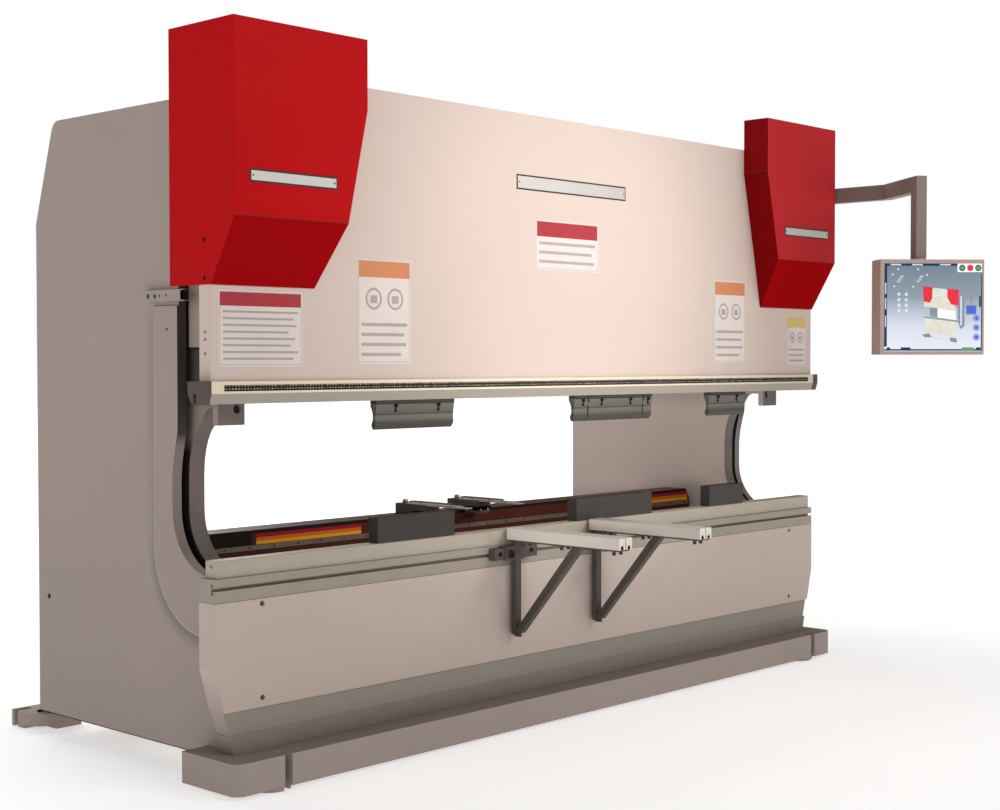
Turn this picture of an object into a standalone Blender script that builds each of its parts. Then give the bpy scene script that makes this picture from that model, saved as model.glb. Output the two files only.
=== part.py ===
"""Hydraulic press brake, 12 ft bed: frame, ram, bed, tooling, back gauge, front supports, hydraulics,
electrical cabinet and operator pendant.

Metres, +Z up. X runs along the bed, -Y is the operator's side, Z = 0 is the floor.
The machine centre plane is x = 0 before the final placement, and y = 0 is the ram's front face.
The whole machine hangs under one empty that puts the origin under the middle of its bounding box.
"""

import math

import bmesh
import bpy
from mathutils import Matrix, Vector

# ---------------------------------------------------------------- driving dimensions
RAM_LENGTH = 3.658            # 12 ft
HALF = RAM_LENGTH / 2
RAM_BOTTOM = 1.386            # lower edge of the ram plate above the floor, ram fully up
RAM_HEIGHT = 1.0543
RAM_THICK = 0.062
RAM_STROKE = 0.330
SHOULDER_W = 0.420            # notch at each ram end that the cylinder stands in
SHOULDER_Z = 0.420            # above RAM_BOTTOM

BAR_OVERHANG = 0.006
BAR_FRONT = -0.0115
BAR_BACK = 0.067
BAR_DROP = 0.077
GROOVE_TOP = 0.042
CAP_LENGTH = 0.041

TOOL_Y = 0.026                # plane of the punch tips and die grooves
PUNCH_DROP = 0.185            # punch tip below RAM_BOTTOM
DIE_TOP = -0.508              # relative to RAM_BOTTOM, as all the bed heights below
RAIL_TOP = -0.602
RAIL_BOTTOM = -0.6605
TABLE_TOP = -0.6608
TABLE_BOTTOM = -0.742
BED_BREAK = -0.965
BED_BOTTOM = -1.115
SKIRT_STEP = -1.197
BEAM_TOP = -1.262
BEAM_BOTTOM = -1.371
BED_FRONT = -0.011
BED_BACK = 0.073

HOUSING_X = 0.105             # outer plate's outer face, from the ram's end plane
OUTER_T = 0.031
INNER_X0 = 0.166
INNER_X1 = 0.232
FRAME_FRONT = 0.323
THROAT_Y = 0.356
FRAME_TOP = 0.984
OUTER_REAR = 1.2525
INNER_REAR = 1.352

CYL_X = 0.169
CYL_Y = 0.031
CYL_R = 0.125
BORE_R = 0.0803
ROD_R = 0.030

COVER_X = -0.003
COVER_FRONT = -0.134
COVER_TOP = 1.192
COVER_BOTTOM = 0.3214
COVER_SHEET = 0.0025

GAP = 0.0003                  # clearance between pieces that rest on each other

PLACE_X = -0.0855             # puts the middle of the bounding box over the origin
PLACE_Y = -0.26805

# ---------------------------------------------------------------- scene and helpers
for old in list(bpy.data.objects):
    bpy.data.objects.remove(old, do_unlink=True)

SCENE = bpy.context.scene.collection
MATS = {}


def material(name, colour, rough, metal=0.0):
    if name not in MATS:
        mat = bpy.data.materials.new(name)
        mat.use_nodes = True
        node = mat.node_tree.nodes["Principled BSDF"]
        node.inputs["Base Color"].default_value = (*colour, 1.0)
        node.inputs["Roughness"].default_value = rough
        node.inputs["Metallic"].default_value = metal
        MATS[name] = mat
    return MATS[name]


GREY = ("frame_grey", (0.29, 0.25, 0.22), 0.55, 0.0)
BEIGE = ("ram_beige", (0.58, 0.49, 0.42), 0.50, 0.0)
RED = ("cover_red", (0.42, 0.008, 0.010), 0.40, 0.0)
STEEL = ("ground_steel", (0.38, 0.35, 0.31), 0.35, 0.9)
TOOL = ("tool_steel", (0.10, 0.095, 0.09), 0.40, 0.8)
DARK = ("dark_cap", (0.09, 0.08, 0.075), 0.55, 0.1)
BROWN = ("gauge_brown", (0.10, 0.02, 0.012), 0.50, 0.0)
ALU = ("aluminium", (0.60, 0.58, 0.55), 0.35, 0.9)
BLACK = ("black_steel", (0.05, 0.047, 0.045), 0.50, 0.3)
CHROME = ("chrome_rod", (0.75, 0.75, 0.75), 0.12, 1.0)
SCREEN = ("screen_glass", (0.25, 0.33, 0.42), 0.15, 0.0)
TAN = ("pendant_tan", (0.33, 0.25, 0.22), 0.50, 0.0)


def pivot(name, at, parent=None):
    """An empty on a joint axis; moving pieces hang under it."""
    empty = bpy.data.objects.new(name, None)
    empty.empty_display_size = 0.1
    SCENE.objects.link(empty)
    empty.location = at
    if parent is not None:
        empty.parent = parent
        empty.matrix_parent_inverse = Matrix.Identity(4)
        empty.location = Vector(at) - world_at(parent)
    return empty


def world_at(obj):
    at = Vector(obj.location)
    while obj.parent is not None:
        obj = obj.parent
        at += Vector(obj.location)
    return at


ROOT = pivot("press_brake", (0.0, 0.0, 0.0))


def link(name, bm, spec, parent, smooth=None):
    """Object from a bmesh whose coordinates are machine coordinates, re-based on its parent's origin."""
    bmesh.ops.recalc_face_normals(bm, faces=bm.faces)
    shift = -world_at(parent) if parent is not None else Vector((0, 0, 0))
    bmesh.ops.translate(bm, verts=bm.verts, vec=shift)
    mesh = bpy.data.meshes.new(name)
    bm.to_mesh(mesh)
    bm.free()
    if spec is not None:
        mesh.materials.append(material(*spec))
    obj = bpy.data.objects.new(name, mesh)
    SCENE.objects.link(obj)
    if parent is not None:
        obj.parent = parent
    if smooth:
        mesh.shade_smooth()
        mesh.set_sharp_from_angle(angle=math.radians(smooth))
    return obj


def add_box(bm, x, y, z):
    made = bmesh.ops.create_cube(bm, size=1.0)["verts"]
    for v in made:
        v.co = Vector((x[0] + (v.co.x + 0.5) * (x[1] - x[0]),
                       y[0] + (v.co.y + 0.5) * (y[1] - y[0]),
                       z[0] + (v.co.z + 0.5) * (z[1] - z[0])))
    return made


def add_prism(bm, outline, axis, lo, hi):
    """Extrudes a closed 2-D outline. axis 'x': outline is (y, z); 'y': (x, z); 'z': (x, y)."""
    def at(p, h):
        return {"x": (h, p[0], p[1]), "y": (p[0], h, p[1]), "z": (p[0], p[1], h)}[axis]
    low = [bm.verts.new(at(p, lo)) for p in outline]
    high = [bm.verts.new(at(p, hi)) for p in outline]
    bm.faces.new(low)
    bm.faces.new(list(reversed(high)))
    n = len(outline)
    for i in range(n):
        bm.faces.new((low[i], low[(i + 1) % n], high[(i + 1) % n], high[i]))
    return low + high


def add_cylinder(bm, centre, axis, radius, lo, hi, segments=32):
    ring = [(centre[0] + radius * math.cos(2 * math.pi * i / segments),
             centre[1] + radius * math.sin(2 * math.pi * i / segments)) for i in range(segments)]
    return add_prism(bm, ring, axis, lo, hi)


def add_turned(bm, centre, axis, profile, segments=40):
    """Turns a closed (radius, height) profile, listed once round, about an axis."""
    def at(r, h, a):
        c, s = r * math.cos(a), r * math.sin(a)
        return {"x": (h, centre[0] + c, centre[1] + s),
                "y": (centre[0] + c, h, centre[1] + s),
                "z": (centre[0] + c, centre[1] + s, h)}[axis]
    rings = []
    for r, h in profile:
        if r < 1e-9:
            rings.append([bm.verts.new(at(0.0, h, 0.0))])
        else:
            rings.append([bm.verts.new(at(r, h, 2 * math.pi * i / segments)) for i in range(segments)])
    for a, b in zip(rings, rings[1:] + rings[:1]):
        if len(a) == 1 and len(b) == 1:
            continue
        for i in range(segments):
            j = (i + 1) % segments
            if len(a) == 1:
                bm.faces.new((a[0], b[i], b[j]))
            elif len(b) == 1:
                bm.faces.new((a[i], b[0], a[j]))
            else:
                bm.faces.new((a[i], b[i], b[j], a[j]))


def rounded(points, segments=5):
    """Outline with rounded corners: points are (u, v) or (u, v, radius)."""
    out = []
    n = len(points)
    for i, p in enumerate(points):
        r = p[2] if len(p) > 2 else 0.0
        here = Vector(p[:2])
        if r <= 0.0:
            out.append((here.x, here.y))
            continue
        a = (Vector(points[i - 1][:2]) - here).normalized()
        b = (Vector(points[(i + 1) % n][:2]) - here).normalized()
        half = a.angle(b) / 2
        reach = r / math.tan(half)
        centre = here + (a + b).normalized() * (r / math.sin(half))
        start, end = here + a * reach - centre, here + b * reach - centre
        turn = start.angle_signed(end)
        for k in range(segments + 1):
            t = -turn * k / segments
            c, s = math.cos(t), math.sin(t)
            q = Vector((start.x * c - start.y * s, start.x * s + start.y * c)) + centre
            out.append((q.x, q.y))
    return out


def solid(name, spec, parent=None, smooth=None, build=None):
    bm = bmesh.new()
    build(bm)
    return link(name, bm, spec, parent or ROOT, smooth)


def boolean(obj, operation, build, tag):
    """Boolean with a hidden helper; the helper's coordinates are machine coordinates."""
    bm = bmesh.new()
    build(bm)
    tool = link(obj.name + "." + tag, bm, None, obj.parent)
    tool.hide_render = True
    tool.display_type = "WIRE"
    tool.hide_set(True)
    mod = obj.modifiers.new(tag, "BOOLEAN")
    mod.operation = operation
    mod.solver = "EXACT"
    mod.object = tool
    return obj


def cut(obj, build, tag="cut"):
    return boolean(obj, "DIFFERENCE", build, tag)


def join(obj, build, tag="join"):
    return boolean(obj, "UNION", build, tag)


def up(z):
    """Height above the floor of a level given relative to the ram's lower edge."""
    return RAM_BOTTOM + z


def X(side, u):
    """Machine x of a distance u measured inwards from the ram's end plane, on side -1 (left) or +1."""
    return side * (HALF - u)


def span(side, u0, u1):
    a, b = X(side, u0), X(side, u1)
    return (min(a, b), max(a, b))


def arc(cy, cz, r, a0, a1, n):
    return [(cy + r * math.cos(math.radians(a0 + (a1 - a0) * i / n)),
             cz + r * math.sin(math.radians(a0 + (a1 - a0) * i / n))) for i in range(n + 1)]


# ---------------------------------------------------------------- side frames
THROAT_R = 0.220
THROAT_LOW = -0.455


def throat_low():
    """The lower throat arc, from its front end on the bed round to the vertical throat line."""
    return arc(THROAT_Y - THROAT_R, up(THROAT_LOW), THROAT_R, -90, 0, 16)


def throat_high():
    return [(THROAT_Y, up(-0.345)), (THROAT_Y - 0.006, up(-0.290)), (THROAT_Y - 0.018, up(-0.235)),
            (FRAME_FRONT + 0.002, up(-0.185)), (FRAME_FRONT, up(-0.140))]


def outer_outline():
    return ([(BED_BACK + GAP, up(-0.675))] + throat_low() + throat_high()
            + [(FRAME_FRONT, up(FRAME_TOP))]
            + rounded([(FRAME_FRONT, up(FRAME_TOP)), (1.125, up(FRAME_TOP), 0.050), (1.2525, up(0.600)),
                       (OUTER_REAR, up(-1.2935))])[1:]
            + [(0.180, up(-1.2935)), (0.180, up(BEAM_TOP + GAP)), (BED_BACK + GAP, up(BEAM_TOP + GAP))])


def doubler_outline():
    outer = [(BED_BACK + GAP, up(-0.915))] + arc(0.170, up(-0.590), 0.300, -72, 0, 14) + [(0.466, up(0.262))]
    inner = [(FRAME_FRONT, up(0.262))] + list(reversed(throat_high())) + list(reversed(throat_low())) \
        + [(BED_BACK + GAP, up(-0.675))]
    return outer + inner


def inner_outline():
    nose = [(0.146, up(0.110)), (0.146, up(-0.0945)), (0.216, up(-0.0945)), (0.235, up(-0.0975)),
            (0.253, up(-0.107)), (0.267, up(-0.128)), (0.287, up(-0.159)), (0.308, up(-0.181)), (0.326, up(-0.211)),
            (0.339, up(-0.245)), (0.348, up(-0.285)), (THROAT_Y - 0.004, up(-0.340)), (THROAT_Y - 0.004, up(THROAT_LOW))]
    low = list(reversed(arc(THROAT_Y - THROAT_R, up(THROAT_LOW), THROAT_R - 0.004, -90, 0, 16)))[1:]
    return ([(FRAME_FRONT + 0.012, up(0.110))] + nose + low
            + [(BED_BACK + GAP, up(-0.671)), (BED_BACK + GAP, up(BEAM_TOP + GAP)),
               (0.180, up(BEAM_TOP + GAP)), (0.180, up(-1.3217)), (INNER_REAR, up(-1.3217)),
               (INNER_REAR, up(0.480)), (1.160, up(FRAME_TOP - 0.014)), (FRAME_FRONT + 0.012, up(FRAME_TOP - 0.014))])


for side, tag in ((-1, "left"), (1, "right")):
    outer = solid("outer_plate_" + tag, GREY, smooth=30,
                  build=lambda bm: add_prism(bm, outer_outline(), "x", *span(side, HOUSING_X, HOUSING_X + OUTER_T)))
    join(outer, lambda bm: add_prism(bm, doubler_outline(), "x", *span(side, HOUSING_X - 0.008, HOUSING_X + 0.004)),
         "doubler")
    join(outer, lambda bm: add_box(bm, span(side, HOUSING_X + OUTER_T - 0.004, INNER_X0 - GAP), (0.430, 0.455),
                                   (up(-1.230), up(0.940))), "web")
    cut(outer, lambda bm: (add_cylinder(bm, (1.1797, up(-0.842)), "x", 0.011,
                                        *span(side, HOUSING_X - 0.02, HOUSING_X + 0.020), 16),
                           add_cylinder(bm, (0.384, up(0.180)), "x", 0.005,
                                        *span(side, HOUSING_X - 0.02, HOUSING_X + 0.016), 12)), "holes")

    inner = solid("inner_plate_" + tag, GREY, smooth=30,
                  build=lambda bm: add_prism(bm, inner_outline(), "x", *span(side, INNER_X0, INNER_X1)))
    join(inner, lambda bm: add_box(bm, span(side, 0.120, 0.2335), (0.121, 0.150), (up(-0.154), up(0.019))),
         "guide_bracket")
    join(inner, lambda bm: add_box(bm, span(side, HOUSING_X + 0.002, INNER_X1 - 0.002),
                                   (0.090, FRAME_FRONT - GAP), (up(0.600), up(0.965))), "cylinder_mount")
    join(inner, lambda bm: add_box(bm, span(side, INNER_X0 + 0.002, INNER_X1 - 0.002),
                                   (0.300, FRAME_FRONT + 0.020), (up(0.602), up(0.963))), "mount_root")
    cut(inner, lambda bm: (add_cylinder(bm, (X(side, CYL_X), CYL_Y), "z", CYL_R + 0.0006, up(0.55), up(1.0), 48),
                           add_cylinder(bm, (X(side, 0.2015), up(-0.098)), "y", 0.0165, 0.10, 0.138, 20)), "holes")

    # ram guide: a block on the frame with a channel that the guide bar of the ram runs in
    gib = solid("gib_" + tag, GREY,
                build=lambda bm: add_box(bm, span(side, 0.147, 0.252), (0.095, FRAME_FRONT - GAP), (up(0.116), up(0.400))))
    join(gib, lambda bm: add_box(bm, span(side, 0.160, 0.250), (0.095, 0.1207), (up(-0.070), up(0.130))), "lower_guide")
    cut(gib, lambda bm: add_box(bm, span(side, 0.1840, 0.2260), (0.080, 0.1155), (up(-0.20), up(0.60))), "channel")

    scale = solid("scale_arm_" + tag, GREY,
                  build=lambda bm: add_prism(bm, rounded([(0.268, up(0.2767)), (0.508, up(0.2767), 0.006),
                                                          (0.508, up(0.3180), 0.006), (0.268, up(0.3180))], 3), "x",
                                             *span(side, 0.085, HOUSING_X - GAP)))
    cut(scale, lambda bm: [add_cylinder(bm, (y, up(0.2975)), "x", r, *span(side, 0.070, 0.097), 12)
                           for y, r in ((0.479, 0.009), (0.439, 0.009), (0.4095, 0.005), (0.370, 0.005))], "holes")

    # rear foot with an anchor slot, a jack-screw hole and a raised front corner
    foot = solid("rear_foot_" + tag, GREY,
                 build=lambda bm: add_prism(bm, rounded([(X(side, 0.100), 1.262, 0.075), (X(side, 0.296), 1.262),
                                                         (X(side, 0.296), 1.455), (X(side, 0.100), 1.455)], 8),
                                            "z", 0.016, up(-1.322)))
    join(foot, lambda bm: (add_box(bm, span(side, 0.182, 0.296), (1.262, 1.455), (0.0, 0.030)),), "pad_inner")
    join(foot, lambda bm: (add_box(bm, span(side, 0.100, 0.200), (1.360, 1.455), (0.0, 0.030)),), "pad_rear")
    cut(foot, lambda bm: (add_box(bm, span(side, 0.080, 0.165), (1.410, 1.437), (-0.05, 0.12)),
                          add_cylinder(bm, (X(side, 0.150), 1.330), "z", 0.011, -0.05, 0.12, 16)), "slots")

    # cylinder: barrel with an open gland at the bottom and a port block on its inner side
    cyl = solid("cylinder_" + tag, BLACK, smooth=40,
                build=lambda bm: add_turned(bm, (X(side, CYL_X), CYL_Y), "z",
                                            [(0.0, up(1.140)), (CYL_R, up(1.140)), (CYL_R, up(0.560)),
                                             (ROD_R + 0.0008, up(0.560)), (ROD_R + 0.0008, up(0.610)),
                                             (BORE_R, up(0.610)), (BORE_R, up(1.080)), (0.0, up(1.080))]))
    join(cyl, lambda bm: add_box(bm, span(side, CYL_X + 0.080, CYL_X + 0.165), (CYL_Y - 0.045, CYL_Y + 0.045),
                                 (up(1.088), up(1.165))), "port_block")

# ---------------------------------------------------------------- covers
def cover_front(bm, side, wall):
    """Front shell volume of a cover; with a wall it is the inside space, open at the bottom and the back."""
    w = wall
    def inner_u(rel):
        if rel >= 0.9455:
            return 0.582 - w
        if rel >= 0.5439:
            return 0.492 + (0.582 - 0.492) * (rel - 0.5439) / (0.9455 - 0.5439) - w
        return 0.445 + (0.492 - 0.445) * (rel - COVER_BOTTOM) / (0.5439 - COVER_BOTTOM) - w
    run = (-0.005 - COVER_FRONT) / (0.5439 - COVER_BOTTOM)
    tilt = w * math.hypot(1.0, run)              # sheet thickness measured along Y on the slanted front
    back = 0.02 if w else -0.001
    levels = [(COVER_BOTTOM, -0.005 + tilt), (0.5439, COVER_FRONT + w), (0.9455, COVER_FRONT + w),
              (COVER_TOP - w, COVER_FRONT + w)]
    if w:
        levels[0] = (COVER_BOTTOM - 0.02, -0.005 + tilt + 0.02 * run)
    rows = []
    for rel, yf in levels:
        z = up(rel)
        rows.append([bm.verts.new((X(side, COVER_X + w), yf, z)), bm.verts.new((X(side, inner_u(rel)), yf, z)),
                     bm.verts.new((X(side, inner_u(rel)), back, z)), bm.verts.new((X(side, COVER_X + w), back, z))])
    bm.faces.new(rows[0])
    bm.faces.new(list(reversed(rows[-1])))
    for a, b in zip(rows, rows[1:]):
        for i in range(4):
            j = (i + 1) % 4
            bm.faces.new((a[i], a[j], b[j], b[i]))


for side, tag in ((-1, "left"), (1, "right")):
    cover = solid("cover_" + tag, RED, build=lambda bm: cover_front(bm, side, 0.0))
    cut(cover, lambda bm: cover_front(bm, side, COVER_SHEET), "inside")
    join(cover, lambda bm: add_prism(bm, [(-0.003, up(COVER_BOTTOM)), (0.223, up(COVER_BOTTOM)), (0.223, up(COVER_TOP)),
                                          (-0.060, up(COVER_TOP)), (-0.060, up(0.500))], "x",
                                     *span(side, COVER_X, COVER_X + COVER_SHEET)), "side_panel")
    join(cover, lambda bm: add_box(bm, span(side, COVER_X, 0.250), (-0.060, 0.223),
                                   (up(COVER_TOP) - COVER_SHEET, up(COVER_TOP))), "top_panel")

# ---------------------------------------------------------------- bed and base
def bed_u(z):
    """Inset of the bed's end at a height below the break, where the ends taper inwards."""
    return max(0.0, (BED_BREAK - z) / (BED_BREAK - BEAM_TOP) * 0.079)


def bed_slab(z0, z1, inset=0.0):
    levels = [z1] + ([BED_BREAK] if z0 < BED_BREAK < z1 else []) + [z0]
    right = [(HALF - bed_u(z) - inset, up(z)) for z in levels]
    left = [(-x, z) for x, z in reversed(right)]
    return right + left


bed = solid("bed_plate", BEIGE,
            build=lambda bm: add_prism(bm, bed_slab(BED_BOTTOM, TABLE_BOTTOM - GAP), "y", BED_FRONT, BED_BACK))
cut(bed, lambda bm: [add_cylinder(bm, (s * (HALF - 0.2025), up(z)), "y", 0.010, BED_FRONT - 0.02, BED_FRONT + 0.030, 16)
                     for s in (-1, 1) for z in (-0.760, -1.083)], "bolt_holes")

skirt = solid("bed_skirt", GREY,
              build=lambda bm: add_prism(bm, bed_slab(BEAM_TOP + GAP, SKIRT_STEP), "y", BED_FRONT, BED_BACK))
join(skirt, lambda bm: add_prism(bm, bed_slab(SKIRT_STEP - 0.010, BED_BOTTOM - GAP, 0.003), "y", BED_FRONT + 0.008, BED_BACK - 0.002),
     "kick_strip")

SLOT_Z0, SLOT_Z1 = -0.7011, -0.6895      # opening of the tee slot
TEE_Z0, TEE_Z1 = -0.7135, -0.6770        # its head
TEE_Y0, TEE_Y1 = -0.002, 0.008
solid("bed_table", STEEL,
      build=lambda bm: add_prism(bm, [(BED_FRONT, up(TABLE_BOTTOM)), (BED_BACK, up(TABLE_BOTTOM)),
                                      (BED_BACK, up(TABLE_TOP)), (BED_FRONT, up(TABLE_TOP)),
                                      (BED_FRONT, up(SLOT_Z1)), (TEE_Y0, up(SLOT_Z1)), (TEE_Y0, up(TEE_Z1)),
                                      (TEE_Y1, up(TEE_Z1)), (TEE_Y1, up(TEE_Z0)), (TEE_Y0, up(TEE_Z0)),
                                      (TEE_Y0, up(SLOT_Z0)), (BED_FRONT, up(SLOT_Z0))],
                                 "x", -HALF + 0.0016, HALF - 0.0016))
solid("die_rail", STEEL,
      build=lambda bm: add_prism(bm, [(-0.001, up(RAIL_BOTTOM)), (0.059, up(RAIL_BOTTOM)), (0.059, up(RAIL_TOP) - 0.002),
                                      (0.057, up(RAIL_TOP)), (0.001, up(RAIL_TOP)), (-0.001, up(RAIL_TOP) - 0.002)],
                                 "x", -HALF + 0.018, HALF - 0.018))

beam = solid("base_beam", GREY,
             build=lambda bm: add_prism(bm, rounded([(-HALF, -0.127, 0.042), (HALF, -0.127, 0.042),
                                                     (HALF, 0.1745), (-HALF, 0.1745)], 7), "z",
                                        up(BEAM_BOTTOM), up(BEAM_TOP)))
for x, tag in ((-HALF + 0.2208, "pad_left"), (HALF - 0.1675, "pad_right")):
    join(beam, lambda bm: add_cylinder(bm, (x - 0.02, -0.052), "z", 0.070, 0.0, up(BEAM_BOTTOM) + 0.004, 28), tag)
for x, tag in ((-HALF + 0.2208, "slot_left"), (HALF - 0.1675, "slot_right")):
    cut(beam, lambda bm: add_prism(bm, rounded([(x - 0.016, -0.20), (x + 0.016, -0.20), (x + 0.016, -0.058, 0.0155),
                                                (x - 0.016, -0.058, 0.0155)], 5), "z", -0.05, 0.20), tag)

solid("rear_lower_tie", GREY, build=lambda bm: add_box(bm, (-HALF + INNER_X1 + GAP, HALF - INNER_X1 - GAP),
                                                       (1.200, 1.260), (up(-1.280), up(-1.050))))
tie = solid("rear_upper_tie", GREY, build=lambda bm: add_box(bm, (-HALF + INNER_X1 + GAP, HALF - INNER_X1 - GAP),
                                                             (0.960, 1.100), (up(0.260), up(0.640))))
cut(tie, lambda bm: add_box(bm, (-HALF, HALF), (0.972, 1.088), (up(0.272), up(0.628))), "hollow")

# ---------------------------------------------------------------- dies
def die_outline():
    top, v = up(DIE_TOP), 0.015
    return [(0.0005, up(RAIL_TOP) + GAP), (0.0515, up(RAIL_TOP) + GAP), (0.0515, top - 0.001), (0.0505, top),
            (TOOL_Y + v, top), (TOOL_Y + 0.001, top - 0.0150), (TOOL_Y - 0.001, top - 0.0150), (TOOL_Y - v, top),
            (0.0015, top), (0.0005, top - 0.001)]


for i, (u0, u1) in enumerate(((0.7485, 1.1470), (1.8700, 2.3785), (2.8100, 3.0770)), 1):
    solid("die_%d" % i, TOOL, build=lambda bm: add_prism(bm, die_outline(), "x", -HALF + u0, -HALF + u1))

# ---------------------------------------------------------------- ram
RAM = pivot("ram_slide_axis", (0.0, RAM_THICK / 2, up(0.0)), ROOT)


def ram_outline():
    s, h = SHOULDER_W, RAM_HEIGHT
    return [(-HALF, up(GAP)), (HALF, up(GAP)), (HALF, up(SHOULDER_Z)), (HALF - s, up(SHOULDER_Z)),
            (HALF - s, up(h)), (-HALF + s, up(h)), (-HALF + s, up(SHOULDER_Z)), (-HALF, up(SHOULDER_Z))]


ram = solid("ram_plate", BEIGE, RAM, build=lambda bm: add_prism(bm, ram_outline(), "y", 0.0, RAM_THICK))
for side, tag in ((-1, "guide_left"), (1, "guide_right")):
    join(ram, lambda bm: add_box(bm, span(side, 0.185, 0.225), (RAM_THICK - 0.004, 0.112), (up(0.0008), up(SHOULDER_Z - 0.002))), tag)
cut(ram, lambda bm: [add_cylinder(bm, (0.0305, up(z)), "x", 0.006, *span(s, -0.02, 0.025), 12)
                     for s in (-1, 1) for z in (0.165, 0.140, 0.092)], "end_holes")


def bar_outline():
    return [(BAR_FRONT, up(0.0)), (BAR_FRONT, up(-0.042)), (-0.001, up(-BAR_DROP)), (TOOL_Y - 0.008, up(-BAR_DROP)),
            (TOOL_Y - 0.008, up(-GROOVE_TOP)), (TOOL_Y + 0.008, up(-GROOVE_TOP)), (TOOL_Y + 0.008, up(-BAR_DROP)),
            (0.0405, up(-BAR_DROP)), (0.065, up(-0.046)), (BAR_BACK, up(0.0))]


bar = solid("clamp_bar", STEEL, RAM,
            build=lambda bm: add_prism(bm, bar_outline(), "x", -HALF - BAR_OVERHANG, HALF + BAR_OVERHANG))
for side, tag in ((-1, "left"), (1, "right")):
    solid("bar_cap_" + tag, DARK, RAM,
          build=lambda bm: add_prism(bm, bar_outline(), "x", *span(side, -BAR_OVERHANG - CAP_LENGTH, -BAR_OVERHANG - GAP)))


def punch_outline():
    tip = up(-PUNCH_DROP)
    return [(0.006, up(-BAR_DROP) - GAP), (TOOL_Y - 0.0065, up(-BAR_DROP) - GAP), (TOOL_Y - 0.0065, up(-0.046)),
            (TOOL_Y + 0.0065, up(-0.046)), (TOOL_Y + 0.0065, up(-BAR_DROP) - GAP), (0.040, up(-BAR_DROP) - GAP),
            (0.040, up(-0.100)), (0.034, up(-0.110)), (0.0285, up(-0.125)), (0.0270, up(-0.140)), (0.0280, up(-0.152)),
            (0.0330, up(-0.162)), (0.0350, up(-0.171)), (TOOL_Y + 0.0015, tip), (TOOL_Y - 0.0015, tip),
            (0.0150, up(-0.172)), (0.0120, up(-0.166)), (0.0125, up(-0.152)), (0.0135, up(-0.140)), (0.0125, up(-0.125)),
            (0.0090, up(-0.107)), (0.0080, up(-0.0925)), (0.0085, up(-0.0895)), (0.006, up(-0.0885))]


for name, u0, u1 in (("punch_1", 0.7485, 1.1530), ("punch_2a", 1.8660, 1.9555), ("punch_2b", 1.9560, 2.3255),
                     ("punch_2c", 2.3260, 2.3885), ("punch_3", 2.8180, 3.1060)):
    solid(name, TOOL, RAM, build=lambda bm: add_prism(bm, punch_outline(), "x", -HALF + u0, -HALF + u1))

for side, tag in ((-1, "left"), (1, "right")):
    rod = solid("piston_rod_" + tag, CHROME, RAM, smooth=40,
                build=lambda bm: add_turned(bm, (X(side, CYL_X), CYL_Y), "z",
                                            [(0.0, up(1.060)), (BORE_R - 0.0008, up(1.060)), (BORE_R - 0.0008, up(1.000)),
                                             (ROD_R, up(1.000)), (ROD_R, up(0.440)), (0.0, up(0.440))]))
    join(rod, lambda bm: add_box(bm, span(side, CYL_X - 0.110, CYL_X + 0.110), (CYL_Y - 0.0295, CYL_Y + 0.0295),
                                 (up(SHOULDER_Z) + GAP, up(0.462))), "foot")

# ---------------------------------------------------------------- back gauge
GB_Y0, GB_Y1 = 0.550, 0.676
GB_TOP, GB_BOTTOM = -0.580, -0.720
SCREW_U, SCREW_Z = 0.565, -0.845

for side, tag in ((-1, "left"), (1, "right")):
    support = solid("gauge_support_" + tag, GREY,
                    build=lambda bm: add_box(bm, span(side, 0.400, 0.520), (BED_BACK + GAP, 1.1997), (up(-0.980), up(-0.900))))
    join(support, lambda bm: add_box(bm, span(side, 0.410, 0.510), (1.120, 1.1997), (up(-1.200), up(-0.970))), "leg")
    join(support, lambda bm: add_box(bm, span(side, 0.440, 0.480), (0.120, 1.150), (up(-0.905), up(-0.870))), "rail")
    join(support, lambda bm: add_box(bm, span(side, 0.505, 0.615), (BED_BACK + GAP, 0.115), (up(-0.980), up(-0.800))), "front_bearing")
    join(support, lambda bm: add_box(bm, span(side, 0.505, 0.615), (1.155, 1.1997), (up(-0.980), up(-0.800))), "rear_bearing")
    cut(support, lambda bm: (add_cylinder(bm, (X(side, SCREW_U), up(SCREW_Z)), "y", 0.0136, 0.085, 0.130, 20),
                             add_cylinder(bm, (X(side, SCREW_U), up(SCREW_Z)), "y", 0.0136, 1.140, 1.230, 20)), "bores")
    SPIN = pivot("ball_screw_axis_" + tag, (X(side, SCREW_U), 0.6, up(SCREW_Z)), ROOT)
    solid("ball_screw_" + tag, STEEL, SPIN, smooth=40,
          build=lambda bm: add_turned(bm, (X(side, SCREW_U), up(SCREW_Z)), "y",
                                      [(0.0, 0.090), (0.0125, 0.090), (0.0125, 1.204), (0.030, 1.204), (0.030, 1.232),
                                       (0.0, 1.232)], 20))

GAUGE = pivot("gauge_depth_axis", (0.0, 0.613, up(-0.885)), ROOT)
for side, tag in ((-1, "left"), (1, "right")):
    car = solid("gauge_carriage_" + tag, BLACK, GAUGE,
                build=lambda bm: add_box(bm, span(side, 0.395, 0.600), (0.520, 0.790), (up(-0.8695), up(-0.800))))
    join(car, lambda bm: add_box(bm, span(side, 0.395, 0.437), (0.530, 0.780), (up(-0.8945), up(-0.860))), "shoe_outer")
    join(car, lambda bm: add_box(bm, span(side, 0.483, 0.600), (0.530, 0.780), (up(-0.8945), up(-0.860))), "shoe_inner")
    join(car, lambda bm: add_box(bm, span(side, 0.430, 0.490), (0.700, 0.760), (up(-0.810), up(-0.600))), "column")
    cut(car, lambda bm: add_cylinder(bm, (X(side, SCREW_U), up(SCREW_Z)), "y", 0.0140, 0.40, 0.90, 20), "screw_bore")

LIFT = pivot("gauge_height_axis", (0.0, 0.613, up(-0.650)), GAUGE)


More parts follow.
